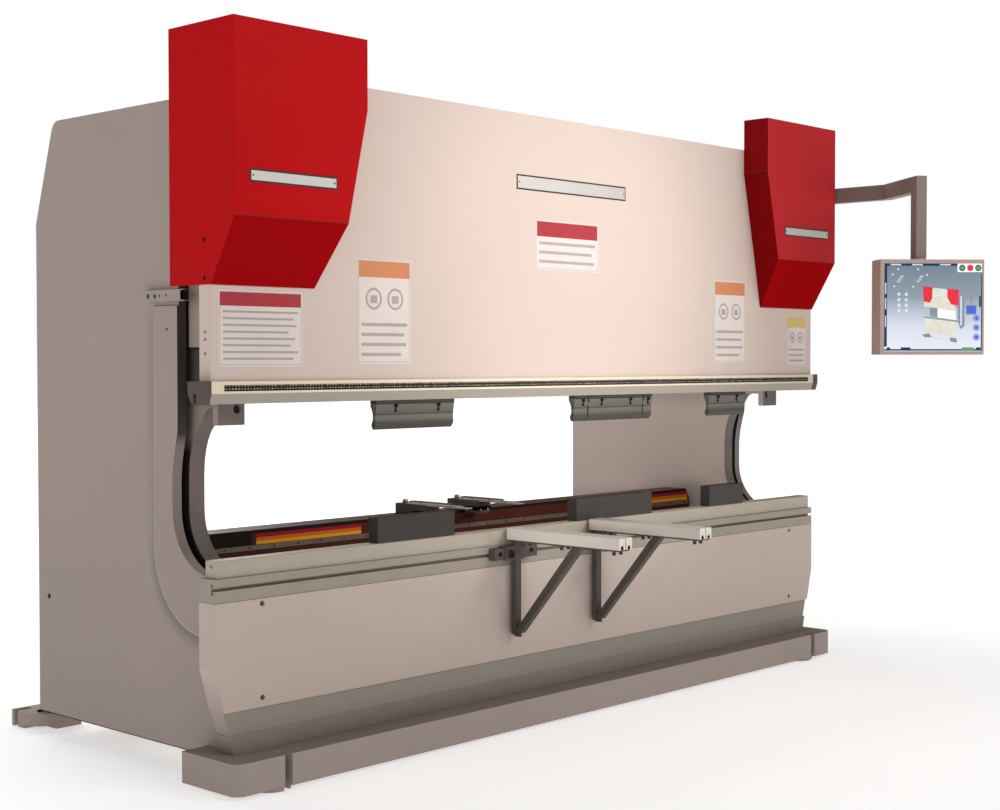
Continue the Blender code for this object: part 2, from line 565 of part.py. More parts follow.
def gauge_beam_outline():
    e = HALF - 0.258
    top, bottom, c = up(GB_TOP), up(GB_BOTTOM), 0.030
    return [(-e, bottom), (e, bottom), (e, top - 0.056), (e - c, top), (-e + c, top), (-e, top - 0.056)]


gbeam = solid("gauge_beam", BROWN, LIFT, build=lambda bm: add_prism(bm, gauge_beam_outline(), "y", GB_Y0, GB_Y1))
join(gbeam, lambda bm: add_box(bm, (-HALF + 0.275, HALF - 0.275), (GB_Y0 - 0.008, GB_Y0 + 0.004), (up(-0.6560), up(-0.6380))), "rail")
cut(gbeam, lambda bm: add_box(bm, (-HALF + 0.290, HALF - 0.290), (GB_Y0 + 0.012, GB_Y1 + 0.050),
                              (up(GB_BOTTOM + 0.012), up(GB_TOP - 0.012))), "channel")
for side, tag in ((-1, "slider_left"), (1, "slider_right")):
    join(gbeam, lambda bm: add_box(bm, span(side, 0.405, 0.515), (GB_Y0 + 0.006, 0.790), (up(-0.718), up(-0.604))), tag)
    cut(gbeam, lambda bm: add_box(bm, span(side, 0.4285, 0.4915), (0.6985, 0.7615), (up(-0.80), up(-0.50))), tag + "_bore")

for u, tag in ((1.485, "left"), (1.797, "right")):
    x = -HALF + u
    AXIS = pivot("finger_axis_" + tag, (x, 0.600, up(GB_TOP)), LIFT)
    finger = solid("gauge_finger_" + tag, BLACK, AXIS,
                   build=lambda bm: add_box(bm, (x - 0.040, x + 0.042), (0.465, 0.650), (up(GB_TOP) + GAP, up(-0.5350))))
    join(finger, lambda bm: add_box(bm, (x - 0.040, x + 0.042), (0.465, 0.5415), (up(-0.5900), up(-0.5500))), "apron")
    join(finger, lambda bm: add_box(bm, (x - 0.036, x + 0.006), (0.290, 0.585), (up(-0.5390), up(-0.5300))), "plate")
    join(finger, lambda bm: add_box(bm, (x - 0.034, x + 0.004), (0.236, 0.300), (up(-0.5385), up(-0.5340))), "tip")
    join(finger, lambda bm: add_box(bm, (x + 0.003, x + 0.038), (0.383, 0.612), (up(-0.5410), up(-0.5270))), "stop_bar")
    join(finger, lambda bm: add_cylinder(bm, (x - 0.018, 0.612), "z", 0.0115, up(-0.5400), up(-0.5184), 20), "knob")

# ---------------------------------------------------------------- front support arms
def arm_rail_outline(x):
    """Two side-by-side extrusions, each with a tee slot in its underside, drawn as one section."""
    lo, hi = up(-0.6400), up(-0.5955)

    def tee(c):
        return [(c - 0.004, lo), (c - 0.004, lo + 0.004), (c - 0.009, lo + 0.004), (c - 0.009, lo + 0.012),
                (c + 0.009, lo + 0.012), (c + 0.009, lo + 0.004), (c + 0.004, lo + 0.004), (c + 0.004, lo)]

    return ([(x - 0.039, lo)] + tee(x - 0.020) + [(x - 0.0008, lo), (x - 0.0008, lo + 0.006), (x + 0.0008, lo + 0.006), (x + 0.0008, lo)]
            + tee(x + 0.020) + [(x + 0.039, lo), (x + 0.039, hi), (x + 0.0008, hi), (x + 0.0008, hi - 0.006),
                                (x - 0.0008, hi - 0.006), (x - 0.0008, hi), (x - 0.039, hi)])


for u, off, tag in ((1.466, -0.010, "1"), (1.973, -0.018, "2")):
    x = -HALF + u
    p = x + off
    AXIS = pivot("support_axis_" + tag, (x, BED_FRONT, up(-0.6953)), ROOT)
    bracket = solid("arm_bracket_" + tag, BLACK, AXIS,
                    build=lambda bm: add_box(bm, (x - 0.085, x + 0.022), (-0.050, BED_FRONT - 0.0005), (up(-0.7180), up(-0.6640))))
    join(bracket, lambda bm: add_box(bm, (x - 0.140, x - 0.080), (-0.044, BED_FRONT - 0.0005), (up(-0.7150), up(-0.6690))), "jaw_left")
    join(bracket, lambda bm: add_box(bm, (x + 0.018, x + 0.105), (-0.046, BED_FRONT - 0.0005), (up(-0.7130), up(-0.6600))), "jaw_right")
    join(bracket, lambda bm: add_cylinder(bm, (x - 0.060, up(-0.694)), "y", 0.017, -0.060, -0.030, 20), "clamp_screw")
    join(bracket, lambda bm: add_box(bm, (x - 0.060, x + 0.060), (-0.020, 0.004), (up(-0.7000), up(-0.6906))), "tee_stem")
    join(bracket, lambda bm: add_box(bm, (x - 0.060, x + 0.060), (-0.0008, 0.0066), (up(-0.7105), up(-0.6800))), "tee_head")
    join(bracket, lambda bm: add_box(bm, (x - 0.034, x + 0.034), (-0.575, -0.020), (up(-0.6463), up(-0.6403))), "top_plate")
    join(bracket, lambda bm: add_box(bm, (p - 0.016, p + 0.016), (-0.050, -0.026), (up(-1.018), up(-0.6430))), "post")
    join(bracket, lambda bm: add_prism(bm, [(-0.345, up(-0.6430)), (-0.388, up(-0.6430)), (-0.0725, up(-1.0100)), (-0.0440, up(-1.0120)),
                                            (-0.0440, up(-1.0020))],
                                       "x", p - 0.015, p + 0.015), "brace")
    join(bracket, lambda bm: [add_cylinder(bm, (x + dx, y), "z", 0.0075, up(-0.6580), up(-0.6455), 12)
                              for dx in (-0.020, 0.020) for y in (-0.085, -0.285, -0.545)], "bolts")
    join(bracket, lambda bm: [add_cylinder(bm, (p, y), "z", 0.008, up(-1.0260), up(-1.0000), 12) for y in (-0.037, -0.0575)], "foot_bolts")
    solid("arm_rail_" + tag, ALU, AXIS, build=lambda bm: add_prism(bm, arm_rail_outline(x), "y", -0.584, -0.0135))

# ---------------------------------------------------------------- hydraulics behind the ram
tank = solid("hydraulic_tank", GREY, build=lambda bm: add_box(bm, (-0.850, 0.750), (0.440, 0.9597), (up(0.270), up(0.640))))
cut(tank, lambda bm: add_box(bm, (-0.835, 0.735), (0.455, 0.945), (up(0.285), up(0.628))), "inside")
cut(tank, lambda bm: add_cylinder(bm, (-0.700, 0.560), "z", 0.050, up(0.60), up(0.70), 20), "filler")
motor = solid("pump_motor", BLACK, smooth=40,
              build=lambda bm: add_turned(bm, (0.700, up(0.800)), "x",
                                          [(0.0, -0.620), (0.090, -0.620), (0.112, -0.600), (0.112, -0.230), (0.125, -0.230),
                                           (0.125, -0.210), (0.095, -0.200), (0.095, -0.100), (0.110, -0.090),
                                           (0.110, -0.070), (0.070, -0.060), (0.070, 0.110), (0.0, 0.110)], 32))
join(motor, lambda bm: add_box(bm, (-0.560, -0.260), (0.610, 0.790), (up(0.6403), up(0.720))), "feet")
join(motor, lambda bm: add_box(bm, (-0.480, -0.340), (0.650, 0.750), (up(0.890), up(0.950))), "terminal_box")
join(motor, lambda bm: add_box(bm, (-0.040, 0.060), (0.660, 0.740), (up(0.6403), up(0.745))), "pump_foot")
manifold = solid("valve_manifold", STEEL, build=lambda bm: add_box(bm, (0.330, 0.600), (0.520, 0.700), (up(0.6403), up(0.780))))
join(manifold, lambda bm: [add_cylinder(bm, (xx, 0.610), "z", 0.024, up(0.770), up(0.880), 20) for xx in (0.390, 0.540)], "valves")

# ---------------------------------------------------------------- electrical cabinet on the right housing
CAB_X0, CAB_X1 = X(1, HOUSING_X) + GAP, X(1, HOUSING_X) + 0.277
CAB_Y0, CAB_Y1 = 0.750, 1.220
CAB_Z0, CAB_Z1 = up(-0.850), up(0.700)
shell = solid("cabinet_shell", GREY, build=lambda bm: add_box(bm, (CAB_X0, CAB_X1), (CAB_Y0, CAB_Y1), (CAB_Z0, CAB_Z1)))
cut(shell, lambda bm: add_box(bm, (CAB_X0 + 0.002, CAB_X1 + 0.05), (CAB_Y0 + 0.002, CAB_Y1 - 0.002),
                              (CAB_Z0 + 0.002, CAB_Z1 - 0.002)), "inside")
plate = solid("cabinet_backplate", STEEL,
              build=lambda bm: add_box(bm, (CAB_X0 + 0.0123, CAB_X0 + 0.0150), (CAB_Y0 + 0.030, CAB_Y1 - 0.030),
                                       (CAB_Z0 + 0.040, CAB_Z1 - 0.040)))
for i, (y0, y1, z0, z1, d) in enumerate(((0.800, 0.920, 0.100, 0.500, 0.170), (0.940, 1.020, 0.100, 0.460, 0.160),
                                         (1.040, 1.120, 0.100, 0.460, 0.160), (0.800, 1.160, -0.080, 0.020, 0.090),
                                         (0.800, 1.160, -0.280, -0.200, 0.080), (0.830, 1.100, -0.740, -0.460, 0.200))):
    join(plate, lambda bm: add_box(bm, (CAB_X0 + 0.0140, CAB_X0 + 0.0150 + d), (y0, y1), (up(z0), up(z1))), "module_%d" % i)

DOOR_X, DOOR_Y = CAB_X1 + 0.024, CAB_Y1 + 0.004
DOOR = pivot("cabinet_hinge_axis", (DOOR_X, DOOR_Y, up(0.0)), ROOT)
door = solid("cabinet_door", GREY, DOOR,
             build=lambda bm: add_box(bm, (CAB_X1 + 0.0020, CAB_X1 + 0.0206), (CAB_Y0 + 0.001, CAB_Y1 - 0.001),
                                      (CAB_Z0 + 0.001, CAB_Z1 - 0.001)))
cut(door, lambda bm: add_box(bm, (CAB_X1 - 0.02, CAB_X1 + 0.0186), (CAB_Y0 + 0.004, CAB_Y1 - 0.004),
                             (CAB_Z0 + 0.004, CAB_Z1 - 0.004)), "inside")
SWITCH_Y, SWITCH_Z = 0.860, up(0.360)
SWITCH = pivot("switch_axis", (CAB_X1 + 0.021, SWITCH_Y, SWITCH_Z), DOOR)
handle = solid("switch_handle", RED, SWITCH, smooth=40,
               build=lambda bm: add_turned(bm, (SWITCH_Y, SWITCH_Z), "x",
                                           [(0.0, CAB_X1 + 0.0210), (0.030, CAB_X1 + 0.0210), (0.027, CAB_X1 + 0.030),
                                            (0.0, CAB_X1 + 0.030)], 28))
join(handle, lambda bm: add_box(bm, (CAB_X1 + 0.026, CAB_X1 + 0.046), (SWITCH_Y - 0.007, SWITCH_Y + 0.007),
                                (SWITCH_Z - 0.028, SWITCH_Z + 0.028)), "grip")

# ---------------------------------------------------------------- operator pendant
ARM_U = -0.052                # centre line of the swing arm outside the ram's end plane
ARM_X = X(1, ARM_U)
ARM_W, ARM_Z0, ARM_Z1 = 0.050, up(0.841), up(0.912)
PIVOT_Y = 0.400
ELBOW_Y = -0.396
REACH = 0.395
AIM = (-0.6157, -0.7880)      # plan direction of the arm's second leg
SIDE = (0.7880, -0.6157)

post = solid("pendant_bracket", GREY,
             build=lambda bm: add_box(bm, (X(1, HOUSING_X) + GAP, X(1, HOUSING_X) + 0.014), (0.335, 0.465), (up(0.780), up(0.972))))
join(post, lambda bm: add_prism(bm, rounded([(X(1, HOUSING_X) + 0.006, 0.360), (ARM_X + 0.036, 0.360, 0.03),
                                             (ARM_X + 0.036, 0.440, 0.03), (X(1, HOUSING_X) + 0.006, 0.440)], 5), "z",
                                up(0.810), ARM_Z0 - 0.001), "lower_ear")
join(post, lambda bm: add_prism(bm, rounded([(X(1, HOUSING_X) + 0.006, 0.360), (ARM_X + 0.036, 0.360, 0.03),
                                             (ARM_X + 0.036, 0.440, 0.03), (X(1, HOUSING_X) + 0.006, 0.440)], 5), "z",
                                ARM_Z1 + 0.001, up(0.942)), "upper_ear")
join(post, lambda bm: add_cylinder(bm, (ARM_X, PIVOT_Y), "z", 0.014, up(0.815), up(0.955), 20), "pin")

SWING = pivot("pendant_swing_axis", (ARM_X, PIVOT_Y, (ARM_Z0 + ARM_Z1) / 2), ROOT)


def arm_plan():
    """Plan outline of the mitred arm: straight forward from the pivot, then turned towards the operator."""
    h = ARM_W / 2
    elbow = Vector((ARM_X, ELBOW_Y))
    one, two = Vector((0.0, -1.0)), Vector(AIM)
    bis = (two - one).normalized()
    k = h / abs(bis.cross(one)) if abs(bis.cross(one)) > 1e-6 else h
    inner, outer_ = elbow + bis * k, elbow - bis * k
    left = Vector((-h, 0.0))
    end = elbow + two * REACH
    side2 = Vector((two.y, -two.x)).normalized() * h
    start = Vector((ARM_X, PIVOT_Y))
    back = [(start.x + h * math.cos(math.radians(a)), start.y + h * math.sin(math.radians(a))) for a in range(0, 181, 20)]
    # side2 points to the left-hand side of the second leg seen from above
    a, b = end + side2, end - side2
    near, far = (inner, outer_) if inner.x < outer_.x else (outer_, inner)
    if (a - near).length < (b - near).length:
        return back + [tuple(near), tuple(a), tuple(b), tuple(far)]
    return back + [tuple(near), tuple(b), tuple(a), tuple(far)]


DROP = Vector((ARM_X, ELBOW_Y)) + Vector(AIM) * (REACH - 0.0325)
HEAD_Z, HEAD_H, HEAD_W, HEAD_D = up(0.312), 0.434, 0.483, 0.130
HEAD_TOP = HEAD_Z + HEAD_H / 2


def turned_box(bm, centre, ax, ay, half, z):
    """Box with plan half sizes half along the plan directions ax and ay."""
    pts = []
    for sx, sy in ((-1, -1), (1, -1), (1, 1), (-1, 1)):
        p = Vector(centre) + Vector(ax) * half[0] * sx + Vector(ay) * half[1] * sy
        pts.append((p.x, p.y))
    add_prism(bm, pts, "z", *z)


arm = solid("pendant_arm", TAN, SWING, build=lambda bm: add_prism(bm, arm_plan(), "z", ARM_Z0, ARM_Z1))
join(arm, lambda bm: turned_box(bm, DROP, SIDE, AIM, (0.0248, 0.0323), (HEAD_TOP + 0.0095, ARM_Z1 - 0.0004)), "drop_tube")
cut(arm, lambda bm: add_cylinder(bm, (ARM_X, PIVOT_Y), "z", 0.0146, ARM_Z0 - 0.05, ARM_Z1 + 0.05, 20), "pivot_bore")

HEAD = pivot("pendant_head_axis", (DROP.x, DROP.y, HEAD_TOP), SWING)
YAW = math.radians(-43.0)
HW = (math.cos(YAW), math.sin(YAW))             # along the face, to its right
HN = (math.sin(YAW), -math.cos(YAW))            # out of the face, towards the operator
FACE = Vector((3.4839 - HALF, -0.7542))         # centre of the front face in plan
BODY = FACE - Vector(HN) * (HEAD_D / 2)

head = solid("pendant_box", TAN, HEAD, build=lambda bm: turned_box(bm, BODY, HW, HN, (HEAD_W / 2, HEAD_D / 2),
                                                                   (HEAD_Z - HEAD_H / 2, HEAD_TOP)))
GLASS = FACE + Vector(HW) * 0.0055                # the screen sits nearer the right-hand edge
cut(head, lambda bm: turned_box(bm, GLASS, HW, HN, (HEAD_W / 2 - 0.0135, 0.014), (HEAD_Z - HEAD_H / 2 + 0.0145, HEAD_TOP - 0.0185)), "recess")
join(head, lambda bm: add_cylinder(bm, (DROP.x, DROP.y), "z", 0.034, HEAD_TOP - 0.004, HEAD_TOP + 0.009, 24), "swivel")
cut(head, lambda bm: turned_box(bm, BODY, HW, HN, (HEAD_W / 2 - 0.012, 0.040), (HEAD_Z - HEAD_H / 2 - 0.02, HEAD_TOP - 0.040)), "hollow")
solid("touch_screen", SCREEN, HEAD,
      build=lambda bm: turned_box(bm, GLASS - Vector(HN) * 0.0075, HW, HN, (HEAD_W / 2 - 0.0140, 0.0060),
                                  (HEAD_Z - HEAD_H / 2 + 0.0150, HEAD_TOP - 0.0190)))

# ---------------------------------------------------------------- final placement
ROOT.location = (PLACE_X, PLACE_Y, 0.0)
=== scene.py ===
import math

import bmesh
import bpy
from mathutils import Matrix, Vector


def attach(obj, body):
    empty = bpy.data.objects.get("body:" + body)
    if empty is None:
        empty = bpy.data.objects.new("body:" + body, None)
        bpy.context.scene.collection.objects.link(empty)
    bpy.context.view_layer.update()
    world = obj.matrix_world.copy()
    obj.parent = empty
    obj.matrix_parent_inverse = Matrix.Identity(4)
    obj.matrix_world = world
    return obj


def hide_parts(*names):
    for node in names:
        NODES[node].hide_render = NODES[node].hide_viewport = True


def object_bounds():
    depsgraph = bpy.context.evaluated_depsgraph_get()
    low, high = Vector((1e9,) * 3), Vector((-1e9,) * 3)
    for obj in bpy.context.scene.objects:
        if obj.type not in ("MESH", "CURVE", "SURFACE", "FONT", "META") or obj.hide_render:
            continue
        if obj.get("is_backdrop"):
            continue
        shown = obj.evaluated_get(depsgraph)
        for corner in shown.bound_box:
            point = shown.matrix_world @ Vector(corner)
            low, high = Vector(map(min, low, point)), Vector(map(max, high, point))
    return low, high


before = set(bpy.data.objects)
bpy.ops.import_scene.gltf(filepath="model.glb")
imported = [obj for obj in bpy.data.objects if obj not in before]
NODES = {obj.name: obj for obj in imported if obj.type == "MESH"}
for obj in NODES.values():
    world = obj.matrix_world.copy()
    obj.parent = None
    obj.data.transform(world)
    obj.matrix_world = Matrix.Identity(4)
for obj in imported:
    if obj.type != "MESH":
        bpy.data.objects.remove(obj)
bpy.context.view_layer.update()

# ------------------------------------------------------------------ machine coordinates
# X from the ram's left end, Y back from the ram's front face, Z up from the ram's lower edge
HALF = 1.829
L = 3.658
OFF = Vector((-HALF - 0.0855, -0.26805, 1.386))


def W(x, y, z):
    return Vector((x, y, z)) + OFF


# ------------------------------------------------------------------ materials
def srgb(r, g, b):
    out = []
    for c in (r, g, b):
        c /= 255.0
        out.append(c / 12.92 if c <= 0.04045 else ((c + 0.055) / 1.055) ** 2.4)
    return tuple(out)


MATS = {}


class Mat:
    """A Principled material with helpers for the procedural nodes that feed it."""

    def __init__(self, name, metal=0.0, spec=0.5, coat=0.0, coat_rough=0.1):
        self.m = bpy.data.materials.new(name)
        self.m.use_nodes = True
        self.t = self.m.node_tree
        self.p = self.t.nodes["Principled BSDF"]
        self.p.inputs["Metallic"].default_value = metal
        self.p.inputs["Specular IOR Level"].default_value = spec
        if coat:
            self.p.inputs["Coat Weight"].default_value = coat
            self.p.inputs["Coat Roughness"].default_value = coat_rough
        self.coord = self.t.nodes.new("ShaderNodeTexCoord").outputs["Object"]
        MATS[name] = self.m

    def node(self, kind, **inputs):
        n = self.t.nodes.new(kind)
        for k, v in inputs.items():
            n.inputs[k.replace("_", " ")].default_value = v
        return n

    def link(self, a, b):
        self.t.links.new(a, b)

    def scaled(self, sx, sy, sz, rot=(0, 0, 0)):
        mp = self.node("ShaderNodeMapping")
        mp.inputs["Scale"].default_value = (sx, sy, sz)
        mp.inputs["Rotation"].default_value = rot
        self.link(self.coord, mp.inputs["Vector"])
        return mp.outputs["Vector"]

    def noise(self, scale, detail=3.0, rough=0.55, vector=None):
        n = self.node("ShaderNodeTexNoise", Scale=scale, Detail=detail, Roughness=rough)
        self.link(vector or self.coord, n.inputs["Vector"])
        return n.outputs["Fac"]

    def ramp(self, fac, stops):
        n = self.t.nodes.new("ShaderNodeValToRGB")
        e = n.color_ramp.elements
        while len(e) < len(stops):
            e.new(0.5)
        for el, (pos, col) in zip(e, stops):
            el.position = pos
            el.color = (*col, 1.0) if len(col) == 3 else col
        self.link(fac, n.inputs["Fac"])
        return n.outputs["Color"]

    def span(self, fac, a, b, lo, hi):
        n = self.t.nodes.new("ShaderNodeMapRange")
        for k, v in zip(("From Min", "From Max", "To Min", "To Max"), (a, b, lo, hi)):
            n.inputs[k].default_value = v
        self.link(fac, n.inputs["Value"])
        return n.outputs["Result"]

    def math(self, op, a, b=None):
        n = self.t.nodes.new("ShaderNodeMath")
        n.operation = op
        for i, v in enumerate((a, b)):
            if v is None:
                continue
            if isinstance(v, (int, float)):
                n.inputs[i].default_value = v
            else:
                self.link(v, n.inputs[i])
        return n.outputs[0]

    def axis(self, i):
        n = self.t.nodes.new("ShaderNodeSeparateXYZ")
        self.link(self.coord, n.inputs[0])
        return n.outputs[i]

    def mix(self, fac, a, b, blend="MIX"):
        n = self.t.nodes.new("ShaderNodeMix")
        n.data_type = "RGBA"
        n.blend_type = blend
        if isinstance(fac, (int, float)):
            n.inputs[0].default_value = fac
        else:
            self.link(fac, n.inputs[0])
        for i, v in ((6, a), (7, b)):
            if isinstance(v, tuple):
                n.inputs[i].default_value = (*v, 1.0)
            else:
                self.link(v, n.inputs[i])
        return n.outputs[2]

    def base(self, col):
        self.link(col, self.p.inputs["Base Color"])

    def rough(self, value):
        self.link(value, self.p.inputs["Roughness"])

    def bump(self, height, strength, distance, edge=0.0016):
        n = self.node("ShaderNodeBump", Strength=strength, Distance=distance)
        self.link(height, n.inputs["Height"])
        if edge:
            soft = self.t.nodes.new("ShaderNodeBevel")
            soft.samples = 4
            soft.inputs["Radius"].default_value = edge
            self.link(soft.outputs["Normal"], n.inputs["Normal"])
        self.link(n.outputs["Normal"], self.p.inputs["Normal"])


def shade(col, k):
    return tuple(min(1.0, c * k) for c in col)


def paint(name, col, rough=0.45, spread=0.05, peel=0.10, coat=0.0, spec=0.12, dust=0.0, grime_and_shade=0.06, top=None):
    """Sprayed enamel: slow drift of tone, orange peel, faint rub marks and a little settled dust low down; top is the
    colour of painted shade on the faces that look up.
    """
    m = Mat(name, spec=spec, coat=coat, coat_rough=0.12)
    drift = m.noise(1.3, 4.0, 0.6)
    base = m.ramp(drift, [(0.30, shade(col, 1 - spread)), (0.70, shade(col, 1 + spread))])
    rub = m.noise(5.0, 6.0, 0.7, m.scaled(0.35, 1.0, 1.0))
    base = m.mix(m.span(rub, 0.60, 0.78, 0.0, grime_and_shade), base, shade(col, 0.55))
    speck = m.noise(160.0, 2.0, 0.5)
    base = m.mix(m.span(speck, 0.66, 0.74, 0.0, 0.18), base, shade(col, 1.22))
    if dust:
        low = m.span(m.axis(2), 0.0, 0.55, dust, 0.0)
        base = m.mix(low, base, (0.36, 0.32, 0.28))
    if top:
        # painted shade: the faces that look up are darker
        g = m.t.nodes.new("ShaderNodeNewGeometry")
        s = m.t.nodes.new("ShaderNodeSeparateXYZ")
        m.link(g.outputs["Normal"], s.inputs[0])
        upward_shade = m.span(s.outputs[2], 0.75, 0.95, 0.0, 1.0)
        base = m.mix(m.math("MULTIPLY", upward_shade, m.span(drift, 0.3, 0.7, 0.85, 1.0)), base, top)
    m.base(base)
    m.rough(m.span(m.math("ADD", m.math("MULTIPLY", drift, 0.6), m.math("MULTIPLY", rub, 0.4)), 0.3, 0.7, rough - 0.06, rough + 0.07))
    m.bump(m.math("ADD", m.noise(420.0, 2.0, 0.5), m.math("MULTIPLY", m.noise(90.0, 2.0, 0.5), 0.8)), peel, 0.0006)
    return m


def steel(name, col, rough=0.34, grain=(6, 900, 900), metal=0.85, stain=0.10, spread=0.10, spec=0.25):
    """Ground or milled steel: fine lines along the length, oily patches and a few scratches."""
    m = Mat(name, metal=metal, spec=spec)
    lines = m.noise(1.0, 4.0, 0.65, m.scaled(*grain))
    base = m.ramp(lines, [(0.25, shade(col, 1 - spread)), (0.75, shade(col, 1 + spread))])
    patch = m.noise(3.2, 5.0, 0.65)
    base = m.mix(m.span(patch, 0.52, 0.75, 0.0, stain * 3), base, shade(col, 0.62))
    m.base(base)
    m.rough(m.span(m.math("ADD", m.math("MULTIPLY", lines, 0.5), m.math("MULTIPLY", patch, 0.5)), 0.3, 0.7, rough - 0.08, rough + 0.12))
    m.bump(lines, 0.18, 0.0004)
    return m


GREY = paint("frame_grey_paint", (0.375, 0.313, 0.280), 0.55, spread=0.03, dust=0.03, grime_and_shade=0.05)
# dark grey of the doubler's weld beads, painted shade for the doubler's edge
WELD_SHADE_GREY = paint("weld_painted_shade_grey", (0.185, 0.155, 0.140), 0.55, spread=0.10, grime_and_shade=0.2)
# the base beam's top colour is painted shade on its upward faces
BEAMP = paint("base_grey_paint", (0.370, 0.313, 0.280), 0.55, spread=0.03, grime_and_shade=0.08, top=(0.280, 0.230, 0.202))
BEIGE = paint("ram_beige_paint", (0.640, 0.525, 0.462), 0.46, spread=0.02, grime_and_shade=0.03, peel=0.12, spec=0.16)
BEDP = paint("bed_beige_paint", (0.560, 0.462, 0.412), 0.50, spread=0.025, grime_and_shade=0.05, peel=0.12)
RED = paint("cover_red_paint", (0.500, 0.0050, 0.0072), 0.42, spread=0.03, grime_and_shade=0.08, spec=0.04)
RED_R_SHADED = paint("cover_red_paint_right_shaded", (0.500, 0.0050, 0.0072), 0.42, spread=0.03, grime_and_shade=0.08, spec=0.04)
# painted shade on the red covers: faces that look down are darker, and so are faces that look towards -x, slightly on
# the left cover and much more on the right one, whose paint is the shaded copy; faces that look down also lose their
# specular
for m, inner in ((RED, 0.97), (RED_R_SHADED, 0.58)):
    geo = m.t.nodes.new("ShaderNodeNewGeometry")
    nrm = m.t.nodes.new("ShaderNodeSeparateXYZ")
    m.link(geo.outputs["Normal"], nrm.inputs[0])
    underside_shade = m.span(nrm.outputs[2], -0.35, -0.10, 0.62, 1.0)
    flank_shade = m.span(nrm.outputs[0], -0.80, -0.50, inner, 1.0)
    k = m.math("MULTIPLY", m.math("MULTIPLY", underside_shade, flank_shade), m.span(m.noise(2.0, 3.0, 0.6), 0.3, 0.7, 0.98, 1.02))
    tone = m.ramp(k, [(0.0, (0.0, 0.0, 0.0)), (1.0, (1.0, 1.0, 1.0))])
    col = m.mix(1.0, m.p.inputs["Base Color"].links[0].from_socket, tone, "MULTIPLY")
    if m is RED_R_SHADED:
        # painted sheen: the front of this cover is painted a pinker red
        col = m.mix(m.span(nrm.outputs[1], -0.97, -0.90, 0.85, 0.0), col, (0.455, 0.0260, 0.0310))
    m.base(col)
    m.link(m.span(nrm.outputs[2], -0.35, -0.10, 0.0, 0.04), m.p.inputs["Specular IOR Level"])
STRIP = paint("kick_grey_paint", (0.290, 0.242, 0.214), 0.50, spread=0.05)
pale = STRIP.span(STRIP.axis(2), 0.1885, 0.1895, 0.0, 1.0)
old = STRIP.p.inputs["Base Color"].links[0].from_socket
STRIP.base(STRIP.mix(pale, old, (0.330, 0.296, 0.254)))
# near black used as painted shade in the gaps between plates and on shaded edges
SHADE_BLACK = (0.030, 0.026, 0.024)


def facing(m):
    g = m.t.nodes.new("ShaderNodeNewGeometry")
    s = m.t.nodes.new("ShaderNodeSeparateXYZ")
    m.link(g.outputs["Normal"], s.inputs[0])
    return s.outputs


# painted shade: the end faces of the bed get darker towards the floor
nrm = facing(BEDP)
low = BEDP.math("MULTIPLY", BEDP.span(BEDP.math("ABSOLUTE", nrm[0], None), 0.85, 0.95, 0.0, 1.0), BEDP.span(BEDP.axis(2), 0.12, 0.44, 0.80, 0.0))
BEDP.base(BEDP.mix(low, BEDP.p.inputs["Base Color"].links[0].from_socket, (0.205, 0.170, 0.150)))


def inner_paint(name, out):
    """Inner plate: painted shade makes the edge faces darker than the sprayed sides and the side in the gap near black.
    """
    m = paint(name, (0.500, 0.420, 0.375), 0.55, spread=0.03, dust=0.03, grime_and_shade=0.05)
    nrm = facing(m)
    side = m.span(m.math("ABSOLUTE", nrm[0], None), 0.35, 0.75, 0.0, 1.0)
    old = m.p.inputs["Base Color"].links[0].from_socket
    # painted shade: the edge faces are darker than the sprayed sides
    edge_shade_col = m.ramp(m.noise(14.0, 5.0, 0.6), [(0.3, (0.170, 0.143, 0.129)), (0.7, (0.200, 0.169, 0.153))])
    col = m.mix(side, edge_shade_col, old)
    # painted shade: the side facing the gap between the plates is near black, weaker over part of its height
    gap = m.span(m.math("MULTIPLY", nrm[0], float(out)), 0.45, 0.75, 0.0, 1.0)
    gap_shade_by_height = m.ramp(m.span(m.axis(2), 1.086, 1.386, 0.0, 1.0),
                  [(0.00, (1.0, 1.0, 1.0)), (0.15, (1.0, 1.0, 1.0)), (0.34, (0.45, 0.45, 0.45)), (0.66, (0.45, 0.45, 0.45)),
                   (0.85, (0.88, 0.88, 0.88)), (1.00, (0.88, 0.88, 0.88))])
    m.base(m.mix(m.math("MULTIPLY", gap, gap_shade_by_height), col, SHADE_BLACK))
    return m


